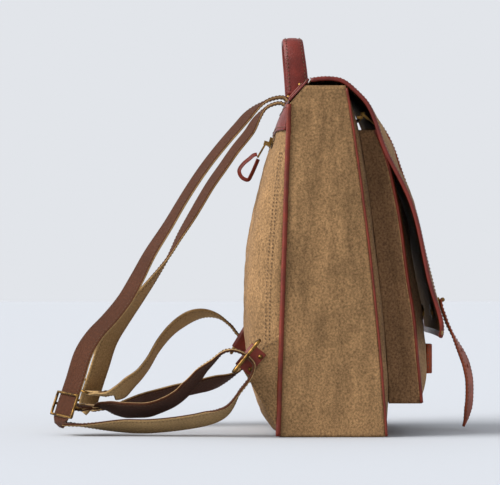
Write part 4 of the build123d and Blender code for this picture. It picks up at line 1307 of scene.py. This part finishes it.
def make_inside():
    """Lining, padded sleeve and inner pocket, softened from the frame's pieces."""
    for node, name, waves in INSIDE:
        made = softened(node, name, "lining", waves)
        settle(made, "bag", "lining", node)


def paint_fittings():
    """Brass on the metal fittings and fibre board on the stiffeners."""
    for node in METAL:
        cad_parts[node].data.materials.clear()
        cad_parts[node].data.materials.append(PAINT["brass"])
    for node in ("base_board", "back_board"):
        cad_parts[node].data.materials.clear()
        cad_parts[node].data.materials.append(PAINT["board"])


# ---------------------------------------------------------------- stage
def make_stage():
    """Pale floor and even surroundings, with a broad soft light from behind the bag's back."""
    scene = bpy.context.scene
    floor_reach = 9000.0
    eye, aim = (-4.150, 0.1484, 0.2184), Vector((-0.150, 0.0924, 0.2178))
    bpy.ops.mesh.primitive_plane_add(size=floor_reach * 2 * MM, location=(0, 0, -0.0006))
    floor = bpy.context.object
    floor.name = "studio_floor"
    material, tree = new_material("matt_paper_sweep")
    tone = tuple(trim().floor_colour) + (1.0,)
    paper = tuple(c * 0.625 for c in trim().floor_colour) + (1.0,)
    surface = add(tree, "ShaderNodeBsdfPrincipled", {"Base Color": paper, "Roughness": 0.9,
                                                     "Specular IOR Level": 0.1})
    add(tree, "ShaderNodeOutputMaterial", {"Surface": surface.outputs["BSDF"]})
    floor.data.materials.append(material)
    world = bpy.data.worlds.new("pale_room")
    world.use_nodes = True
    back = world.node_tree.nodes["Background"]
    back.inputs["Color"].default_value = tone
    back.inputs["Strength"].default_value = 1.0
    scene.world = world
    sun = bpy.data.lights.new("window", "SUN")
    sun.energy = trim().window_strength
    sun.angle = math.radians(50)
    holder = bpy.data.objects.new("window", sun)
    scene.collection.objects.link(holder)
    holder.rotation_euler = Vector((0.25, -0.78, -0.57)).to_track_quat("-Z", "Y").to_euler()
    scene.view_settings.view_transform = "Standard"
    lens = bpy.data.cameras.new("view")
    camera = bpy.data.objects.new("view", lens)
    scene.collection.objects.link(camera)
    camera.location = eye
    camera.rotation_euler = (aim - camera.location).to_track_quat("-Z", "Y").to_euler()
    lens.sensor_width = 36.0
    lens.lens = 257.1
    lens.clip_end = 40.0
    scene.camera = camera


# ---------------------------------------------------------------- operators
class SATCHEL_OT_sides(bpy.types.Operator):
    """Canvas side panels with hemmed tops, the front wall and the base"""

    bl_idname = "satchel.sides"
    bl_label = "Side panels and front wall"

    def execute(self, context):
        make_side_panels()
        make_front_wall()
        return {"FINISHED"}


class SATCHEL_OT_back(bpy.types.Operator):
    """Stuffed canvas back with its zip"""

    bl_idname = "satchel.back"
    bl_label = "Padded back"

    def execute(self, context):
        make_padded_back()
        make_back_zip()
        return {"FINISHED"}


class SATCHEL_OT_piping(bpy.types.Operator):
    """Leather piping in the corner seams"""

    bl_idname = "satchel.piping"
    bl_label = "Piping"

    def execute(self, context):
        make_piping()
        return {"FINISHED"}


class SATCHEL_OT_pocket(bpy.types.Operator):
    """Front pocket with bellows sides, zip tapes and keeper"""

    bl_idname = "satchel.pocket"
    bl_label = "Front pocket"

    def execute(self, context):
        make_pocket()
        return {"FINISHED"}


class SATCHEL_OT_flap(bpy.types.Operator):
    """Bound canvas flap with the closing strap and its loose tail"""

    bl_idname = "satchel.flap"
    bl_label = "Flap and closing strap"

    def execute(self, context):
        make_flap()
        make_strap_tail()
        return {"FINISHED"}


class SATCHEL_OT_top(bpy.types.Operator):
    """Slope leather, back yoke and top handle"""

    bl_idname = "satchel.top"
    bl_label = "Top and handle"

    def execute(self, context):
        make_top()
        return {"FINISHED"}


class SATCHEL_OT_straps(bpy.types.Operator):
    """Shoulder straps and the triangles that hold their rings"""

    bl_idname = "satchel.straps"
    bl_label = "Shoulder straps"

    def execute(self, context):
        make_straps()
        make_ring_anchors()
        return {"FINISHED"}


class SATCHEL_OT_inside(bpy.types.Operator):
    """Lining, padded sleeve and inner pocket, and the finish of all metal fittings"""

    bl_idname = "satchel.inside"
    bl_label = "Inside and fittings"

    def execute(self, context):
        make_inside()
        paint_fittings()
        return {"FINISHED"}


class SATCHEL_OT_stage(bpy.types.Operator):
    """Pale floor, soft lights and camera"""

    bl_idname = "satchel.stage"
    bl_label = "Stage"

    def execute(self, context):
        make_stage()
        return {"FINISHED"}


PIECES = (SATCHEL_OT_sides, SATCHEL_OT_back, SATCHEL_OT_piping, SATCHEL_OT_pocket, SATCHEL_OT_flap,
          SATCHEL_OT_top, SATCHEL_OT_straps, SATCHEL_OT_inside, SATCHEL_OT_stage)


class SATCHEL_PT_panel(bpy.types.Panel):
    """Sizes, colours and pieces of the backpack"""

    bl_idname = "SATCHEL_PT_panel"
    bl_label = "Satchel backpack"
    bl_space_type = "VIEW_3D"
    bl_region_type = "UI"
    bl_category = "Backpack"

    def draw(self, context):
        for group in (context.scene.satchel_cloth, context.scene.satchel_trim):
            for name in group.bl_rna.properties.keys():
                if name not in ("rna_type", "name"):
                    self.layout.prop(group, name)
        for piece in PIECES:
            self.layout.operator(piece.bl_idname)


def register():
    """Adds the settings, operators and panel to Blender."""
    for made in (SatchelCloth, SatchelTrim, *PIECES, SATCHEL_PT_panel):
        bpy.utils.register_class(made)
    bpy.types.Scene.satchel_cloth = bpy.props.PointerProperty(type=SatchelCloth)
    bpy.types.Scene.satchel_trim = bpy.props.PointerProperty(type=SatchelTrim)


def unregister():
    """Takes the settings, operators and panel out again."""
    del bpy.types.Scene.satchel_trim
    del bpy.types.Scene.satchel_cloth
    for made in reversed((SatchelCloth, SatchelTrim, *PIECES, SATCHEL_PT_panel)):
        bpy.utils.unregister_class(made)


def main():
    """Builds every piece and sets the stage."""
    register()
    make_materials(AllSettings())
    bpy.ops.satchel.sides()
    bpy.ops.satchel.back()
    bpy.ops.satchel.piping()
    bpy.ops.satchel.pocket()
    bpy.ops.satchel.flap()
    bpy.ops.satchel.top()
    bpy.ops.satchel.straps()
    bpy.ops.satchel.inside()
    bpy.ops.satchel.stage()


if __name__ == "__main__":
    main()
